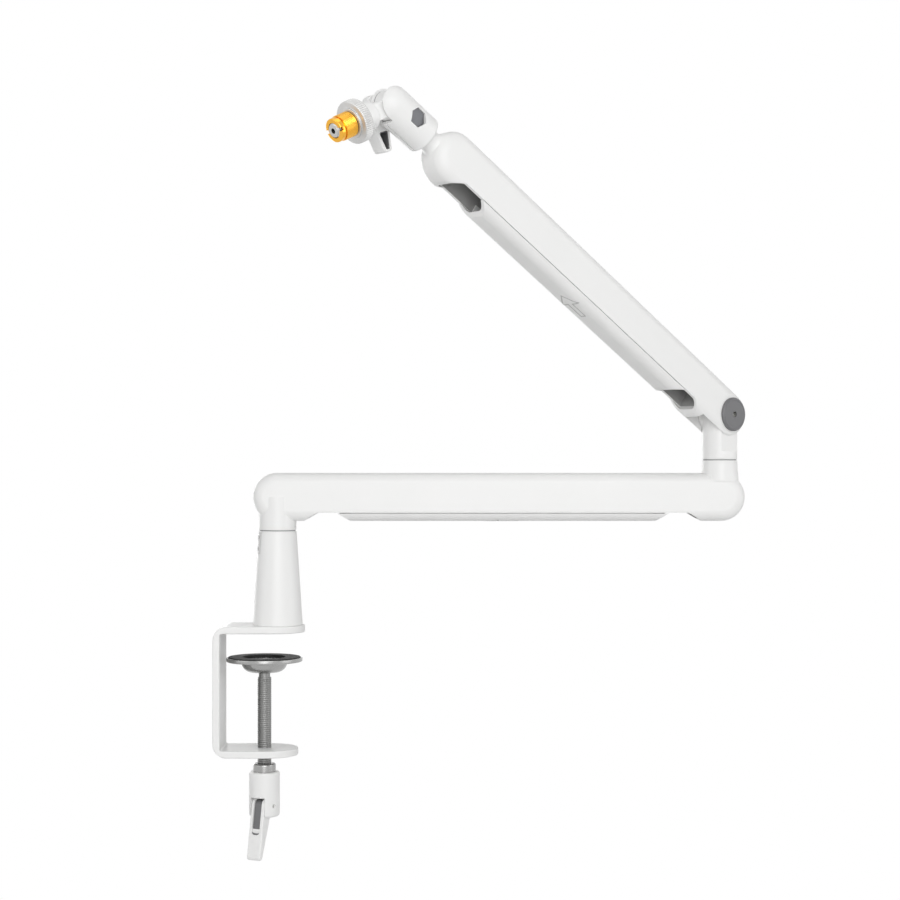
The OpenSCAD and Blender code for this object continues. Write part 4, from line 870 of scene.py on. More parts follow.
class BOOM_OT_arms(bpy.types.Operator):
    """Builds both arms and their cable covers"""

    bl_idname = "boom.arms"
    bl_label = "Arms and covers"

    def execute(self, context):
        boom = context.scene.boom_arm
        arms = boom.arms
        at = Places(boom)
        self.lower_arm(arms, at)
        self.upper_arm(boom, at)
        self.covers(arms, at)
        return {"FINISHED"}

    def lower_arm(self, arms, at):
        """The level arm: its shell with the hub and the elbow boss, less the trough, channel and bores."""
        length, (x0, x1) = arms.lower_length, at.lower_span
        shell = arm_shell("lower_arm_shell", length)
        hub_low, boss_top = at.hub_low - at.lower_z, at.boss_top - at.lower_z
        hub = [(0, 0), (arms.hub / 2, 0), (arms.hub / 2, hub_low), (0, hub_low)]
        boss = [(0, at.roof_z), (arms.boss_foot / 2, at.roof_z), (arms.knuckle / 2, boss_top), (0, boss_top)]
        rims = [0, 0, arms.soft, 0]
        join(shell, turned("hub", hub, rims), turned("boss", boss, rims, shift(length)))
        a = np.linspace(-QUARTER, QUARTER, 33)
        round_end = np.stack([length + at.inner * np.cos(a), at.inner * np.sin(a)], 1)
        start = arms.hub / 2 + arms.hub_wall
        channel = np.concatenate([[(start, at.inner), (start, -at.inner)], round_end])
        cut(shell,
            prism("channel", channel, at.side_low, at.roof_z),
            skirt_room(x0 - arms.chin_run, x1 + arms.chin_run),
            trough("trough", x0, x1),
            bar("elbow bore", 0, boss_top + EPS, arms.elbow_pin + 2 * RUN + 2 * arms.sleeve, shift(length)),
            bar("post bore", hub_low - EPS, 0, arms.shaft + 2 * SEAT))
        dress(shell, at.lower, "powder coat", "white_paint", "lower", "lower_arm", bevel=0.0004)

    def upper_arm(self, boom, at):
        """The raised arm: its shell with the necked end, less the fork, trough, channel and bores. The neck's
        fillet is an arc that meets the round end where the two circles touch."""
        arms = boom.arms
        length, (x0, x1), inner, run = arms.upper_length, at.upper_span, at.inner, arms.chin_run
        shell = arm_shell("upper_arm_shell", length)
        share = arms.height / 2 / (arms.height / 2 + arms.neck_fillet)
        a = np.linspace(math.atan2(length - at.neck_root, -at.fillet_r) % FULL_TURN, math.pi, 9)
        fillet = [(at.fillet_r + arms.neck_fillet * math.cos(t), at.neck_root + arms.neck_fillet * math.sin(t))
                  for t in a]
        low = length + share * (at.neck_root - length) - arms.neck_fillet / 2
        neck_r, chamfer = arms.neck / 2, arms.neck_chamfer
        profile = [(0, low), (share * at.fillet_r - arms.neck_sunk, low)] + fillet
        profile += [(neck_r, at.neck_end - chamfer), (neck_r - chamfer, at.neck_end), (0, at.neck_end)]
        join(shell, lathe("neck", profile, ALONG_X))
        room = arms.knuckle / 2 + arms.fork_room
        a = np.linspace(0, QUARTER, 17)
        eye = np.stack([room * np.cos(a), room * np.sin(a)], 1)
        far = arms.height
        fork = np.concatenate([[(-far, -far), (arms.fork, -far), (arms.fork, 0)], eye, [(-far, room)]])
        cut(shell,
            box("channel", (x0 - run, -inner, at.side_low), (x1 + run / 2, inner, at.roof_z)),
            skirt_room(x0 - run, x1 + run),
            trough("trough", x0, x1),
            prism("fork", fork, -inner, inner, UPRIGHT),
            bar("tilt bore", -arms.width, arms.width, arms.tilt_bolt + 2 * SEAT, ALONG_Y),
            bar("spigot bore", at.neck_end - arms.spigot_mouth, at.neck_end + EPS, arms.spigot + 2 * SEAT,
                ALONG_X))
        dress(shell, at.upper, "powder coat", "white_paint", "upper", "upper_arm", bevel=0.0004)

    def covers(self, arms, at):
        """The grey sheets of painted shade in both channels, then both cable covers with their arrows. A slot
        stays open at each end of a cover, and the arrow points the way that the cover slides."""
        for arm, place, (x0, x1) in (("lower", at.lower, at.lower_span), ("upper", at.upper, at.upper_span)):
            # A grey sheet in each channel paints the shade inside it
            lining = painted_channel_shade(arm + "_channel_lining", x0 - arms.chin_run + EPS, x1 + arms.chin_run / 4)
            dress(lining, place, "channel lining", "grey_cap", arm)
        for arm, place, (x0, x1), slot_a, slot_b, direction in (
                ("lower", at.lower, at.lower_span, arms.slot, arms.slot, -1),
                ("upper", at.upper, at.upper_span, arms.upper_slot_a, arms.upper_slot_b, 1)):
            start, stop, body = x0 + slot_a, x1 - slot_b, arm + "_cable_cover"
            shell = cable_cover(arm + "_cover_shell", start, stop)
            dress(shell, place, "moulded cover", "white_plastic", body, arm + "_cover", bevel=0.0003)
            arrow = arrow_ring(arm + "_cover_arrow", (start + stop) / 2 + direction * arms.arrow_tip, direction)
            dress(arrow, place, "arrow line", "grey_cap", body)


class BOOM_OT_joints(bpy.types.Operator):
    """Builds the post, the knuckle and the pivot caps"""

    bl_idname = "boom.joints"
    bl_label = "Post and elbow"

    def execute(self, context):
        boom = context.scene.boom_arm
        arms = boom.arms
        at = Places(boom)
        self.post(arms, at, boom.clamp.thickness)
        self.knuckle(arms, at)
        self.cap(arms, at, "near_pivot_cap", HERE)
        self.cap(arms, at, "far_pivot_cap", FLIP_Y)
        return {"FINISHED"}

    def post(self, arms, at, low):
        """The tapered post, bored for the shaft, with a pocket for the lock plate."""
        top, foot_r, top_r = at.post_top, arms.post_foot / 2, arms.post_top / 2
        core_r, sleeve_r = arms.post_core / 2, arms.shaft / 2 + 2 * SEAT + arms.sleeve
        post = turned("post_casting", [(core_r, low), (foot_r, low), (top_r, top), (sleeve_r, top)],
                      [0, 0.0004, arms.soft, 0], closed=True, sides=128)
        lock_top, half = top - arms.lock_down, arms.lock_width / 2 + SEAT
        cut(post, box("pocket", (arms.lock_in, -half, lock_top - arms.lock_height - SEAT),
                      (THROUGH, half, lock_top + SEAT), at.lock))
        dress(post, HERE, "powder coat", "white_paint", "clamp_and_post", "post", bevel=0.0003)

    def knuckle(self, arms, at):
        """The knuckle: a round stem with a flat tongue that is turned about the tilt bolt."""
        radius, half, wide = arms.knuckle / 2, arms.tongue_half, 1.5 * THROUGH
        across = shift(z=at.tilt_z) @ ALONG_Y
        stem = turned("elbow_knuckle_casting", [(0, at.knuckle_z), (radius, at.knuckle_z), (radius, at.tilt_z),
                                                (0, at.tilt_z)], [0, arms.soft, 0, 0])
        join(stem, bar("eye", -radius, radius, arms.eye, across, sides=96))
        for low_y, high_y in ((-wide, -half), (half, wide)):
            cut(stem, box("flat", (-wide, low_y, at.ledge_z), (wide, high_y, at.tilt_z + wide)))
        cut(stem, bar("bore", -THROUGH, THROUGH, arms.tilt_bolt + 2 * RUN + 2 * arms.sleeve, across))
        dress(stem, at.knuckle, "powder coat", "white_paint", "elbow", "elbow_knuckle", bevel=0.0004)

    def cap(self, arms, at, name, side):
        """A pivot cap: a disc with a bevelled rim round a slightly lower face, and room for the bolt."""
        face = arms.width / 2
        top, floor = face + arms.cap_depth, face + arms.cap_room_depth
        hole, room = arms.cap_hole / 2, arms.cap_room / 2
        rim, bevel = arms.cap / 2, arms.cap_depth / 2
        dish, dish_r = top - arms.cap_dish, rim - bevel - arms.cap_edge
        cap = turned(name + "_moulding", [
            (hole, floor), (room, floor), (room, face), (rim, face), (rim, face + bevel), (rim - bevel, top),
            (dish_r + PASS, top), (dish_r, dish), (hole, dish)],
            arms.soft / 4, ALONG_Y, closed=True, sides=128, steps=2)
        dress(cap, at.upper @ side, "grey nylon", "grey_cap", "upper", name)


class BOOM_OT_head(bpy.types.Operator):
    """Builds the swivel head, the microphone mount and the tilt lever"""

    bl_idname = "boom.head"
    bl_label = "Swivel head"

    def execute(self, context):
        boom = context.scene.boom_arm
        head = boom.head
        at = Places(boom)
        self.halves(head, at, boom.arms.spigot)
        self.mount(head, at)
        self.lever(head, at)
        return {"FINISHED"}

    def halves(self, head, at, spigot):
        """Both halves of the head: a turned body with a domed end, split, slotted and bored."""
        radius = head.body / 2
        a = np.linspace(0, QUARTER, 25)
        dome = [(radius * math.cos(t), radius * math.sin(t)) for t in a]
        start = soften([(0, -head.length), (radius, -head.length), (radius, 0)], [0, head.corner, 0],
                       closed=False, steps=8)
        profile = list(start[:-1]) + dome
        far, face, pinch = head.body, head.hexagon_face, shift(-head.bolt_back) @ ALONG_Y
        for name, mirror in (("near_head_half", HERE), ("far_head_half", FLIP_Y)):
            body = lathe(name + "_casting", profile, ALONG_X, sides=128)
            if mirror is FLIP_Y:
                seat, low, stop = head.grip_hub / 2 - EPS, radius / 1.5, head.grip_inner - PASS
                join(body, turned("lever seat", [(0, low), (seat, low), (seat, stop), (0, stop)],
                                  [0, 0, 0.0005, 0], ALONG_Y))
            cut(body,
                box("split", (-2 * far, -far, -far), (far, head.slit / 2, far)),
                bar("pocket", -EPS, head.cheek, 2 * head.pocket, ALONG_Y, sides=96),
                box("fork", (-head.fork_back, -EPS, -far), (far, head.cheek, far)),
                bar("spigot room", -head.length - EPS, -head.length + head.spigot_in + PASS,
                    spigot + 2 * RUN, ALONG_X),
                prism("hexagon room", hexagon(head.hexagon_room), face - head.hexagon_depth, far, pinch))
            dress(body, at.head @ mirror, "powder coat", "white_paint", "head", name, bevel=0.00045)
        for name, mirror in (("pinch_bolt", HERE), ("pinch_nut", FLIP_Y)):
            rim, depth = head.hexagon_rim, head.hexagon_depth
            piece = prism(name + "_hexagon", hexagon(head.hexagon), face - depth, face, pinch, rim=rim, steps=2)
            if mirror is HERE:
                join(piece, bar("shank", rim - face, face - depth / 2, head.bolt, pinch))
            else:
                cut(piece, bar("bore", 0, face + EPS, head.bolt + 2 * SEAT, pinch))
            dress(piece, at.head @ mirror, "black oxide", "dark_steel", "head", name)

    def mount(self, head, at):
        """The mount: tongue and shoulder, stud, lock ring and adapter."""
        half, neck = head.tongue / 2, head.neck / 2
        start = math.asin(neck / head.tongue_radius)
        a = np.linspace(start, FULL_TURN - start, 73)
        disc = head.tongue_radius * np.stack([np.cos(a), np.sin(a)], 1)
        neck_x = head.shoulder_start + 2 * EPS
        outline = np.concatenate([disc, [(neck_x, -neck), (neck_x, neck)]])
        tongue = prism("mount_tongue_casting", outline, -half, half, UPRIGHT, rim=head.tongue_rim)
        slope_x, wide = head.shoulder_start - head.shoulder_slope, head.shoulder / 2
        join(tongue, turned("shoulder", [
            (0, slope_x), (neck, slope_x), (wide, head.shoulder_start), (wide, head.shoulder_face),
            (0, head.shoulder_face)], [0, 0, 0.001, 0.0006, 0], ALONG_X))
        cut(tongue, bar("bore", -THROUGH, THROUGH, head.bolt + 2 * RUN, ALONG_Y))
        dress(tongue, at.mic, "powder coat", "white_paint", "mount", "mount_tongue", bevel=0.0004)

        start, end = head.shoulder_face - 2 * EPS, at.adapter_stop + head.stud_proud
        stud = thread("mic_stud_thread", head.stud / 2, head.stud_thread, head.stud_lead, start, end, ALONG_X,
                      chamfer=head.stud_thread, per_turn=12)
        cut(stud, bar("hole", at.adapter_start, end + EPS, head.stud_hole, ALONG_X, sides=32))
        dress(stud, at.mic, "bright zinc", "steel", "mount", "mic_stud")
        self.ring(head, at)
        self.adapter(head, at)

    def adapter(self, head, at):
        """The gold adapter: a threaded sleeve, a groove, and a plain end with a slot across it."""
        thread_r, low, high = head.adapter / 2, at.adapter_start, at.adapter_stop
        plain_r, groove_r = thread_r - head.adapter_step, thread_r - head.adapter_groove
        step = high - head.adapter_end
        body = thread("thread_adapter_sleeve", thread_r, head.adapter_thread, head.adapter_lead, low, step,
                      ALONG_X, chamfer=0.0005, sides=96, narrow=2)
        groove_low, groove_top, cone_top = step - 0.0006, step + 0.0007, step + 0.0009
        join(body, turned("plain end", [
            (0, groove_low), (groove_r, groove_low), (groove_r, groove_top), (plain_r, cone_top),
            (plain_r, high), (0, high)], [0, 0, 0.0002, 0.0003, 0.0006, 0], ALONG_X, steps=3))
        slot, across = head.adapter_slot / 2, 1.1 * thread_r
        cut(body, bar("bore", low - EPS, high + EPS, at.stud_bore, ALONG_X),
            box("slot", (high - head.adapter_slot_depth, -across, -slot), (high + EPS, across, slot)))
        dress(body, at.mic, "gold plate", "gold_brass", "adapter", "thread_adapter", sharp=60)

    def ring(self, head, at):
        """The lock ring: a turned section whose rim radius dips in straight flutes round the edge."""
        low, high, top = at.ring_start, at.ring_end, at.ring_end + head.collar_depth
        rim, collar, bore, edge = head.ring / 2, head.collar / 2, at.stud_bore / 2, head.ring_edge
        section = soften([(bore, low), (rim, low), (rim, high), (collar, high), (collar, top), (bore, top)],
                         [0.0002, edge, edge, 0.0003, 0.0003, 0.0002], steps=4)
        sides = 8 * head.flutes
        a = np.arange(sides) / sides * FULL_TURN
        near_rim = np.clip((section[:, :1] - rim) / head.flute_in + 1, 0, 1)
        middle = np.clip(np.minimum(section[:, 1:] - low, high - section[:, 1:]) / edge, 0, 1)
        dip = head.flute * near_rim * middle * (0.5 - 0.5 * np.cos(head.flutes * a)) ** 1.5
        radius = section[:, :1] - dip
        rings = np.stack([radius * np.cos(a), radius * np.sin(a), section[:, 1:] + 0 * a], -1)
        ring = rings_mesh("lock_ring_knurled", rings, ALONG_X, loop=True)
        dress(ring, at.mic, "nickel", "steel", "ring", "lock_ring", sharp=50)

    def lever(self, head, at):
        """The tilt lever: a turned hub with a tapered blade, hollow towards the head, and a grey cup in the
        hollow that paints its shade.
        """
        inner, outer = head.grip_inner, head.grip_inner + head.grip_depth
        hub_r, hub_end = head.grip_hub / 2, inner + head.grip_hub_depth
        wall, start, length = head.grip_wall, head.grip_hollow, head.grip_length

        def blade(inset, top):
            front, back, share = head.grip_front - inset, inset - head.grip_back, top / length
            outline = [(front - head.grip_front_in * share, -top), (front - head.grip_front_in, inset - length),
                       (back + head.grip_back_in, inset - length), (back + head.grip_back_in * share, -top)]
            corner = head.grip_corner - inset * 0.8
            return soften(outline, [0.0012, corner, corner, 0.0012])

        lever = prism("tilt_lever_moulding", blade(0, 0), -outer, -inner, UPRIGHT, rim=0.0008)
        join(lever, turned("hub", [(0, inner), (hub_r, inner), (hub_r, hub_end), (0, hub_end)],
                           [0, 0.0008, 0.0014, 0], ALONG_Y))
        cut(lever, prism("hollow", blade(wall, start), wall - outer, EPS - inner, UPRIGHT),
            bar("bore", 0, hub_end - wall, head.bolt + 2 * SEAT, ALONG_Y))
        dress(lever, at.grip, "powder coat", "white_paint", "head_lever", "tilt_lever", bevel=0.0003)
        # Painted shade: a grey cup inside the blade's hollow stands for the shade there
        liner = prism("tilt_lever_liner", blade(wall - PASS, start - PASS), wall - outer - PASS, -inner - EPS,
                      UPRIGHT)
        cut(liner, prism("room", blade(wall + EPS, start + EPS), wall - outer + 2 * PASS, EPS - inner, UPRIGHT))
        dress(liner, at.grip, "grey nylon", "grey_cap", "head_lever")


class BOOM_OT_clamp(bpy.types.Operator):
    """Builds the desk clamp: bracket, pad, screw and handle"""

    bl_idname = "boom.clamp"
    bl_label = "Desk clamp"

    def execute(self, context):
        boom = context.scene.boom_arm
        clamp = boom.clamp
        at = Places(boom)
        self.bracket(clamp, at)
        self.pad(clamp, at)
        self.screw(clamp, at)
        self.handle(clamp, at)
        return {"FINISHED"}

    def bracket(self, clamp, at):
        """The bent strip: its rounded section is carried along a path of plate, bend, back, bend and plate. The
        inside of a bend goes round a circle of its own, set out towards the corner. In the round tips each rim
        point stays square to the tip's circle, so the section narrows to nothing."""
        half_w, half_t, rim = clamp.strip / 2, clamp.thickness / 2, clamp.rim
        bend_r = clamp.bend - half_t
        bend_x = -clamp.back + clamp.bend
        top_z, foot_z = half_t, at.foot_low + half_t
        tip, bend = np.linspace(QUARTER, 0, 25), np.linspace(0, QUARTER, 13)
        top_end, foot_end = clamp.top_tip - half_w, clamp.foot_tip - half_w
        stations = [(top_end, top_z, 0.0, t, 0) for t in tip]
        stations += [(x, top_z, 0.0, 0.0, 0) for x in np.linspace(top_end, bend_x, 8)[1:]]
        stations += [(bend_x - bend_r * math.sin(b), top_z - bend_r + bend_r * math.cos(b), b, 0.0, 1)
                     for b in bend[1:]]
        stations += [(bend_x - bend_r, z, QUARTER, 0.0, 0)
                     for z in np.linspace(top_z - bend_r, foot_z + bend_r, 8)[1:-1]]
        stations += [(bend_x - bend_r * math.cos(b), foot_z + bend_r - bend_r * math.sin(b), QUARTER + b, 0.0,
                      -1) for b in bend]
        stations += [(x, foot_z, math.pi, 0.0, 0) for x in np.linspace(bend_x, foot_end, 8)[1:]]
        stations += [(foot_end, foot_z, math.pi, -t, 0) for t in tip[::-1][1:]]
        stations = np.array(stations)
        a = np.linspace(0, QUARTER, 5)
        corner_in = rim * (1 - np.sin(a))
        corner_up = half_t - rim + rim * np.cos(a)
        inset = np.concatenate([corner_in, corner_in[::-1]])
        height = np.concatenate([corner_up, -corner_up[::-1]])
        x, z, heading, tip_angle, side = (stations[:, k:k + 1] for k in range(5))
        reach = half_w - inset
        across, along = reach * np.cos(tip_angle), reach * np.sin(tip_angle)
        tangent_x, tangent_z = np.cos(heading), np.sin(heading)
        normal_x, normal_z = -np.sin(heading), np.cos(heading)
        inward = (half_t - height) / clamp.thickness * np.abs(side)
        set_out = inward * (clamp.bend - clamp.thickness - clamp.inner_bend)
        px = x + tangent_x * along + normal_x * height - set_out * (1 + normal_x)
        pz = z + tangent_z * along + normal_z * height + set_out * (side - normal_z)
        one_side = np.stack([px, across + 0 * px, pz], -1)
        other = one_side[:, ::-1] * np.array([1, -1, 1])
        strip = rings_mesh("clamp_bracket_strip", np.concatenate([one_side, other], 1), caps=False)
        high = clamp.thickness + EPS
        holes = [bar("screw hole", at.foot_low - EPS, at.foot_low + high, clamp.screw + 2 * RUN, at.screw)]
        wide, narrow, sink = clamp.post_screw, clamp.post_screw / 2, clamp.post_screw_sink
        countersink = [(0, -EPS), (wide, -EPS), (wide, sink), (narrow, sink + narrow), (narrow, high),
                       (0, high)]
        for k in range(3):
            place = turn("Z", k * FULL_TURN / 3) @ shift(clamp.post_screw_ring)
            holes.append(lathe("countersink", countersink, place, sides=48))
        cut(strip, *holes)
        dress(strip, HERE, "powder coat", "white_paint", "clamp_and_post", "clamp_bracket", bevel=0.0002)

    def pad(self, clamp, at):
        """The pressure pad: rubber ring, dished plate and crimped cup."""
        hole, rim, face = clamp.rubber_hole / 2, clamp.pad / 2, -clamp.pad_drop
        rim_in, rim_top = rim - clamp.plate_rim_wide, at.plate_top + clamp.plate_rim
        rubber = turned("pad_rubber_ring", [(hole, at.plate_top), (rim_in - SEAT, at.plate_top),
                                            (rim_in - SEAT, face), (hole, face)],
                        [0.0001, 0.0001, 0.0006, 0.0006], closed=True, sides=128)
        dress(rubber, at.screw, "black rubber", "pad_black", "pad", "pad_rubber")
        plate = turned("pad_plate_pressing", [
            (0, at.plate_low), (rim, at.plate_low), (rim, rim_top), (rim_in, rim_top), (rim_in, at.plate_top),
            (0, at.plate_top)], [0, 0.0009, 0.0005, 0.0005, 0.0002, 0], sides=128)
        dress(plate, at.screw, "pressed steel", "steel", "pad", "pad_plate")

        low, top, foot = at.cup_low, at.plate_low - HAIR, clamp.cup_low / 2
        flare = min(clamp.cup_top / 2 - foot, clamp.cup_height)
        a = np.linspace(-QUARTER, 0, 17)
        outside = [(foot + flare * math.cos(t), min(low + flare + flare * math.sin(t), top)) for t in a]
        neck, room, floor = clamp.neck / 2 + RUN, clamp.button / 2 + PASS, low + clamp.cup_floor
        cup = lathe("pad_cup_pressing", [(room, top), (room, floor), (neck, floor), (neck, low)] + outside,
                    closed=True, sides=128)
        wide, high, root = clamp.nub, 0.0006, -0.0014
        nub = [(0, high), (0.0007, 0.0004), (wide, -0.0002), (wide, root), (0, root)]
        place = shift(foot + clamp.nub_out, 0, low + high) @ turn("X", math.pi)
        spots = [turn("Z", k * FULL_TURN / clamp.nubs) @ place for k in range(clamp.nubs)]
        gather(cup, *[lathe("nub", nub, spot, sides=16) for spot in spots])
        dress(cup, at.screw, "pressed steel", "steel", "pad", "pad_cup", sharp=40)

    def screw(self, clamp, at):
        """The clamp screw: thread, smooth neck and button, and the ferrule round it."""
        low = at.handle_top - clamp.hub_height / 3
        screw = thread("clamp_screw_thread", clamp.screw / 2, clamp.thread, clamp.lead, low, at.neck_low,
                       chamfer=0.0008, narrow=3)
        neck, wide, start = clamp.neck / 2, clamp.button / 2, at.neck_low - 2 * EPS
        low, top = at.cup_low + clamp.cup_floor + PASS, at.plate_low - PASS
        join(screw, turned("neck", [(0, start), (neck, start), (neck, low), (wide, low), (wide, top), (0, top)],
                           [0, 0, 0.0002, 0.0004, 0.0004, 0]))
        dress(screw, at.screw, "dull zinc", "screw_steel", "screw", "clamp_screw", sharp=60)
        inner, outer, low, top = clamp.screw / 2 + SEAT, clamp.ferrule / 2, at.handle_top, at.ferrule_top
        ferrule = turned("handle_ferrule_turned", [(inner, low), (outer, low), (outer, top), (inner, top)],
                         [0, 0.0002, 0.0014, 0.0003], closed=True)
        dress(ferrule, at.screw, "pressed steel", "screw_steel", "screw", "handle_ferrule")

    def handle(self, clamp, at):
        """The handle: a round hub with a slot, and the lever that folds out of it, with a window and a step."""
        radius, low, top = clamp.hub / 2, at.handle_low, at.handle_top
        hub = turned("handle_hub_casting", [(0, low), (radius, low), (radius, top), (0, top)],
                     [0, 0.0022, 0.0012, 0])
        cut(hub,
            bar("bore", top - clamp.hub_height / 3, top + EPS, clamp.screw + 2 * SEAT),
            box("slot", (clamp.hub_back - radius, -clamp.hub_slot / 2, low - EPS),
                (2 * radius, clamp.hub_slot / 2, low + clamp.hub_slot_height)),
            bar("pin bore", -THROUGH, THROUGH, clamp.pin, shift(clamp.pin_out, 0, at.pin_z) @ ALONG_Y,
                sides=32))
        dress(hub, at.handle, "powder coat", "white_paint", "screw", "handle_hub", bevel=0.0006)

        half, eye, tip = clamp.hub_slot / 2 - PASS, clamp.eye, clamp.tip / 2
        a, b = np.linspace(0, math.pi, 25), np.linspace(math.pi, FULL_TURN, 13)
        top_arc = eye * np.stack([np.cos(a), np.sin(a)], 1)
        tip_arc = np.stack([eye - tip + tip * np.cos(b), tip - clamp.lever + tip * np.sin(b)], 1)
        outline = np.concatenate([top_arc, [(0.0004 - eye, -eye)], tip_arc])
        lever = prism("clamp_lever_casting", outline, -half, half, UPRIGHT, rim=0.0012)
        ahead = turn("Z", QUARTER) @ UPRIGHT
        wide, foot, far = clamp.window / 2, -clamp.window_length, 2 * eye

        def opening(high, low, corner):
            return soften([(-wide, high), (wide, high), (wide, low), (-wide, low)], [0, 0, corner, corner])

        cut(lever, prism("window", opening(far, foot, 0.0004), -far, far, ahead),
            prism("step", opening(foot + EPS, foot - clamp.step_length, 0.0026), eye - clamp.step, far, ahead),
            bar("pin bore", -THROUGH, THROUGH, clamp.pin + 2 * RUN, ALONG_Y, sides=32))
        dress(lever, at.lever, "powder coat", "white_paint", "screw_lever", "clamp_lever", bevel=0.0005)
        self.window(clamp, at, ahead)

    def window(self, clamp, at, ahead):
        """Painted shade: the window's grey back, a hood round the lever's eye, and a crescent of shadow in the
        step's round end.
        """
        wide, foot, sunk, thick = clamp.window / 2, -clamp.window_length, 0.0002, 0.0009
        front = clamp.eye - clamp.window_back
        back = front - clamp.liner
        a, b = np.linspace(0, QUARTER, 13), np.linspace(math.pi, FULL_TURN, 17)
        hood = [(back, foot - PASS), (front, foot - PASS)]
        hood += [(r * np.cos(t), r * np.sin(t)) for r, path in ((front, a), (back, a[::-1])) for t in path]
        # A grey sheet behind the window paints its shade, and a grey crescent paints the step's shadow
        liner = prism("clamp_lever_liner", hood, -wide - sunk, wide + sunk, UPRIGHT)
        deep, shallow = ((0.96 * wide * np.cos(b), foot - clamp.crescent + sag * np.sin(b))
                         for sag in (clamp.crescent, clamp.crescent_top))
        crescent = np.concatenate([np.stack(deep, 1), np.stack(shallow, 1)[-2:0:-1]])
        gather(liner, prism("crescent", crescent, front - sunk, front - sunk + thick, ahead))
        dress(liner, at.lever, "grey nylon", "grey_cap", "screw_lever")


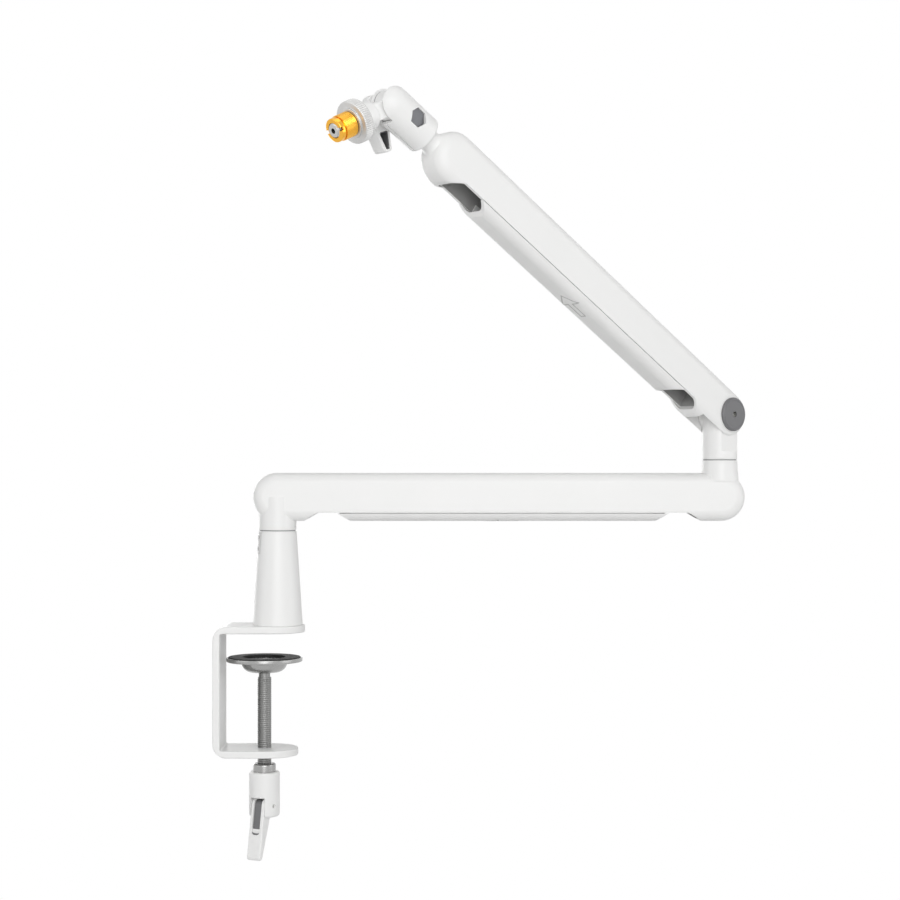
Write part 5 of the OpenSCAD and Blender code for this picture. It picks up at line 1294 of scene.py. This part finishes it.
class BOOM_OT_stage(bpy.types.Operator):
    """Builds the floor, backdrop, lights and camera"""

    bl_idname = "boom.stage"
    bl_label = "Stage"

    def execute(self, context):
        scene = context.scene
        scene.view_settings.view_transform = "Standard"
        self.floor(scene)
        self.world(scene)
        self.lights(scene)
        self.camera(scene)
        return {"FINISHED"}

    def seen(self, tree):
        """One for a ray of the camera's, of gloss or of glass, else none."""
        path = add_node(tree, "ShaderNodeLightPath")
        seen = path.outputs["Is Camera Ray"]
        for kind in ("Is Glossy Ray", "Is Transmission Ray"):
            either = add_node(tree, "ShaderNodeMath", {0: seen, 1: path.outputs[kind]}, operation="MAXIMUM")
            seen = either.outputs[0]
        return seen

    def floor(self, scene):
        """A floor that rises behind the object as a backdrop, white to the camera."""
        low, depth, rise, bend, reach = -0.42, 2.4, 2.4, 0.8, 6.0
        a = np.linspace(0, QUARTER, 17)
        y = np.concatenate([[-reach, 0.0], depth - bend + bend * np.sin(a), [depth]])
        z = np.concatenate([[low, low], low + bend - bend * np.cos(a), [low + rise]])
        x = np.array([-reach, reach])
        grid = np.stack([x[None, :] + 0 * y[:, None], y[:, None] + 0 * x, z[:, None] + 0 * x], -1)
        faces = [(2 * k, 2 * k + 1, 2 * k + 3, 2 * k + 2) for k in range(len(y) - 1)]
        mesh = bpy.data.meshes.new("floor")
        mesh.from_pydata(grid.reshape(-1, 3).tolist(), [], faces)
        floor = bpy.data.objects.new("floor", mesh)
        scene.collection.objects.link(floor)
        mesh.shade_smooth()
        pale = bpy.data.materials.new("floor paper")
        pale.use_nodes = True
        tree = pale.node_tree
        tree.nodes.clear()
        white = tuple(scene.boom_arm.finishes.floor)
        matt = add_node(tree, "ShaderNodeBsdfDiffuse", {"Color": shaded(white, 0.8)})
        glow = add_node(tree, "ShaderNodeEmission", {"Color": white, "Strength": 1.0})
        mix = add_node(tree, "ShaderNodeMixShader",
                       {0: self.seen(tree), 1: matt.outputs[0], 2: glow.outputs[0]})
        add_node(tree, "ShaderNodeOutputMaterial", {"Surface": mix.outputs[0]})
        mesh.materials.append(pale)

    def world(self, scene):
        """An even white surround, brighter to the camera and in gloss than as a light."""
        world = bpy.data.worlds.new("studio")
        scene.world = world
        world.use_nodes = True
        tree = world.node_tree
        tree.nodes.clear()
        level = add_node(tree, "ShaderNodeMapRange", {"Value": self.seen(tree), "To Min": 0.2, "To Max": 1.0})
        surround = add_node(tree, "ShaderNodeBackground",
                            {"Color": (1, 1, 1, 1), "Strength": level.outputs["Result"]})
        add_node(tree, "ShaderNodeOutputWorld", {"Surface": surround.outputs[0]})

    def lights(self, scene):
        """Soft boxes: a wide one above the camera, a strong one behind the object, and weak ones round it."""
        aim = (0.12, 0, 0.1)
        for name, place, width, power in (
                ("front box", (0.35, -2.2, 0.75), 1.6, 24.0),
                ("camera box", (0.124, -2.2, 0.115), 0.8, 4.0),
                ("right box", (2.0, -0.5, 0.4), 1.2, 7.0),
                ("left box", (-1.7, -0.9, 0.6), 1.0, 6.0),
                ("top box", (0.1, -0.3, 1.9), 1.2, 4.0),
                ("rear box", (-0.95, 2.0, 0.1), 1.4, 18.0)):
            lamp = bpy.data.lights.new(name, "AREA")
            lamp.shape, lamp.size, lamp.energy = "SQUARE", width, power
            holder = bpy.data.objects.new(name, lamp)
            scene.collection.objects.link(holder)
            forward = np.array(aim) - np.array(place)
            forward /= np.linalg.norm(forward)
            side = np.cross(forward, (0, 0, 1))
            side /= np.linalg.norm(side)
            up = np.cross(side, forward)
            matrix = np.eye(4)
            matrix[:3, 0], matrix[:3, 1], matrix[:3, 2], matrix[:3, 3] = side, up, -forward, place
            holder.matrix_world = Matrix(matrix.tolist())

    def camera(self, scene):
        """The photograph's view: level, from 1.35 m in front of the lower arm, shifted up a little."""
        lens = bpy.data.cameras.new("camera")
        lens.lens, lens.sensor_width, lens.shift_y = 75.2, 36.0, 0.0244
        holder = bpy.data.objects.new("camera", lens)
        scene.collection.objects.link(holder)
        holder.location = (0.124, -1.3525, 0.115)
        holder.rotation_euler = (QUARTER, 0, 0)
        scene.camera = holder


OPERATORS = (BOOM_OT_finishes, BOOM_OT_arms, BOOM_OT_joints, BOOM_OT_head, BOOM_OT_clamp, BOOM_OT_stage)


class BOOM_PT_panel(bpy.types.Panel):
    """Lists the boom arm's steps"""

    bl_idname = "BOOM_PT_panel"
    bl_label = "Boom Arm"
    bl_space_type = "VIEW_3D"
    bl_region_type = "UI"
    bl_category = "Boom Arm"

    def draw(self, context):
        for operator in OPERATORS:
            self.layout.operator(operator.bl_idname)


CLASSES = (StanceSettings, ArmSettings, HeadSettings, ClampSettings, FinishSettings, BoomArmSettings,
           *OPERATORS, BOOM_PT_panel)


def register():
    for kind in CLASSES:
        bpy.utils.register_class(kind)
    bpy.types.Scene.boom_arm = bpy.props.PointerProperty(type=BoomArmSettings)


def unregister():
    del bpy.types.Scene.boom_arm
    for kind in reversed(CLASSES):
        bpy.utils.unregister_class(kind)


def main():
    """Builds everything."""
    register()
    for operator in OPERATORS:
        group, call = operator.bl_idname.split(".")
        getattr(getattr(bpy.ops, group), call)()


if __name__ == "__main__":
    main()
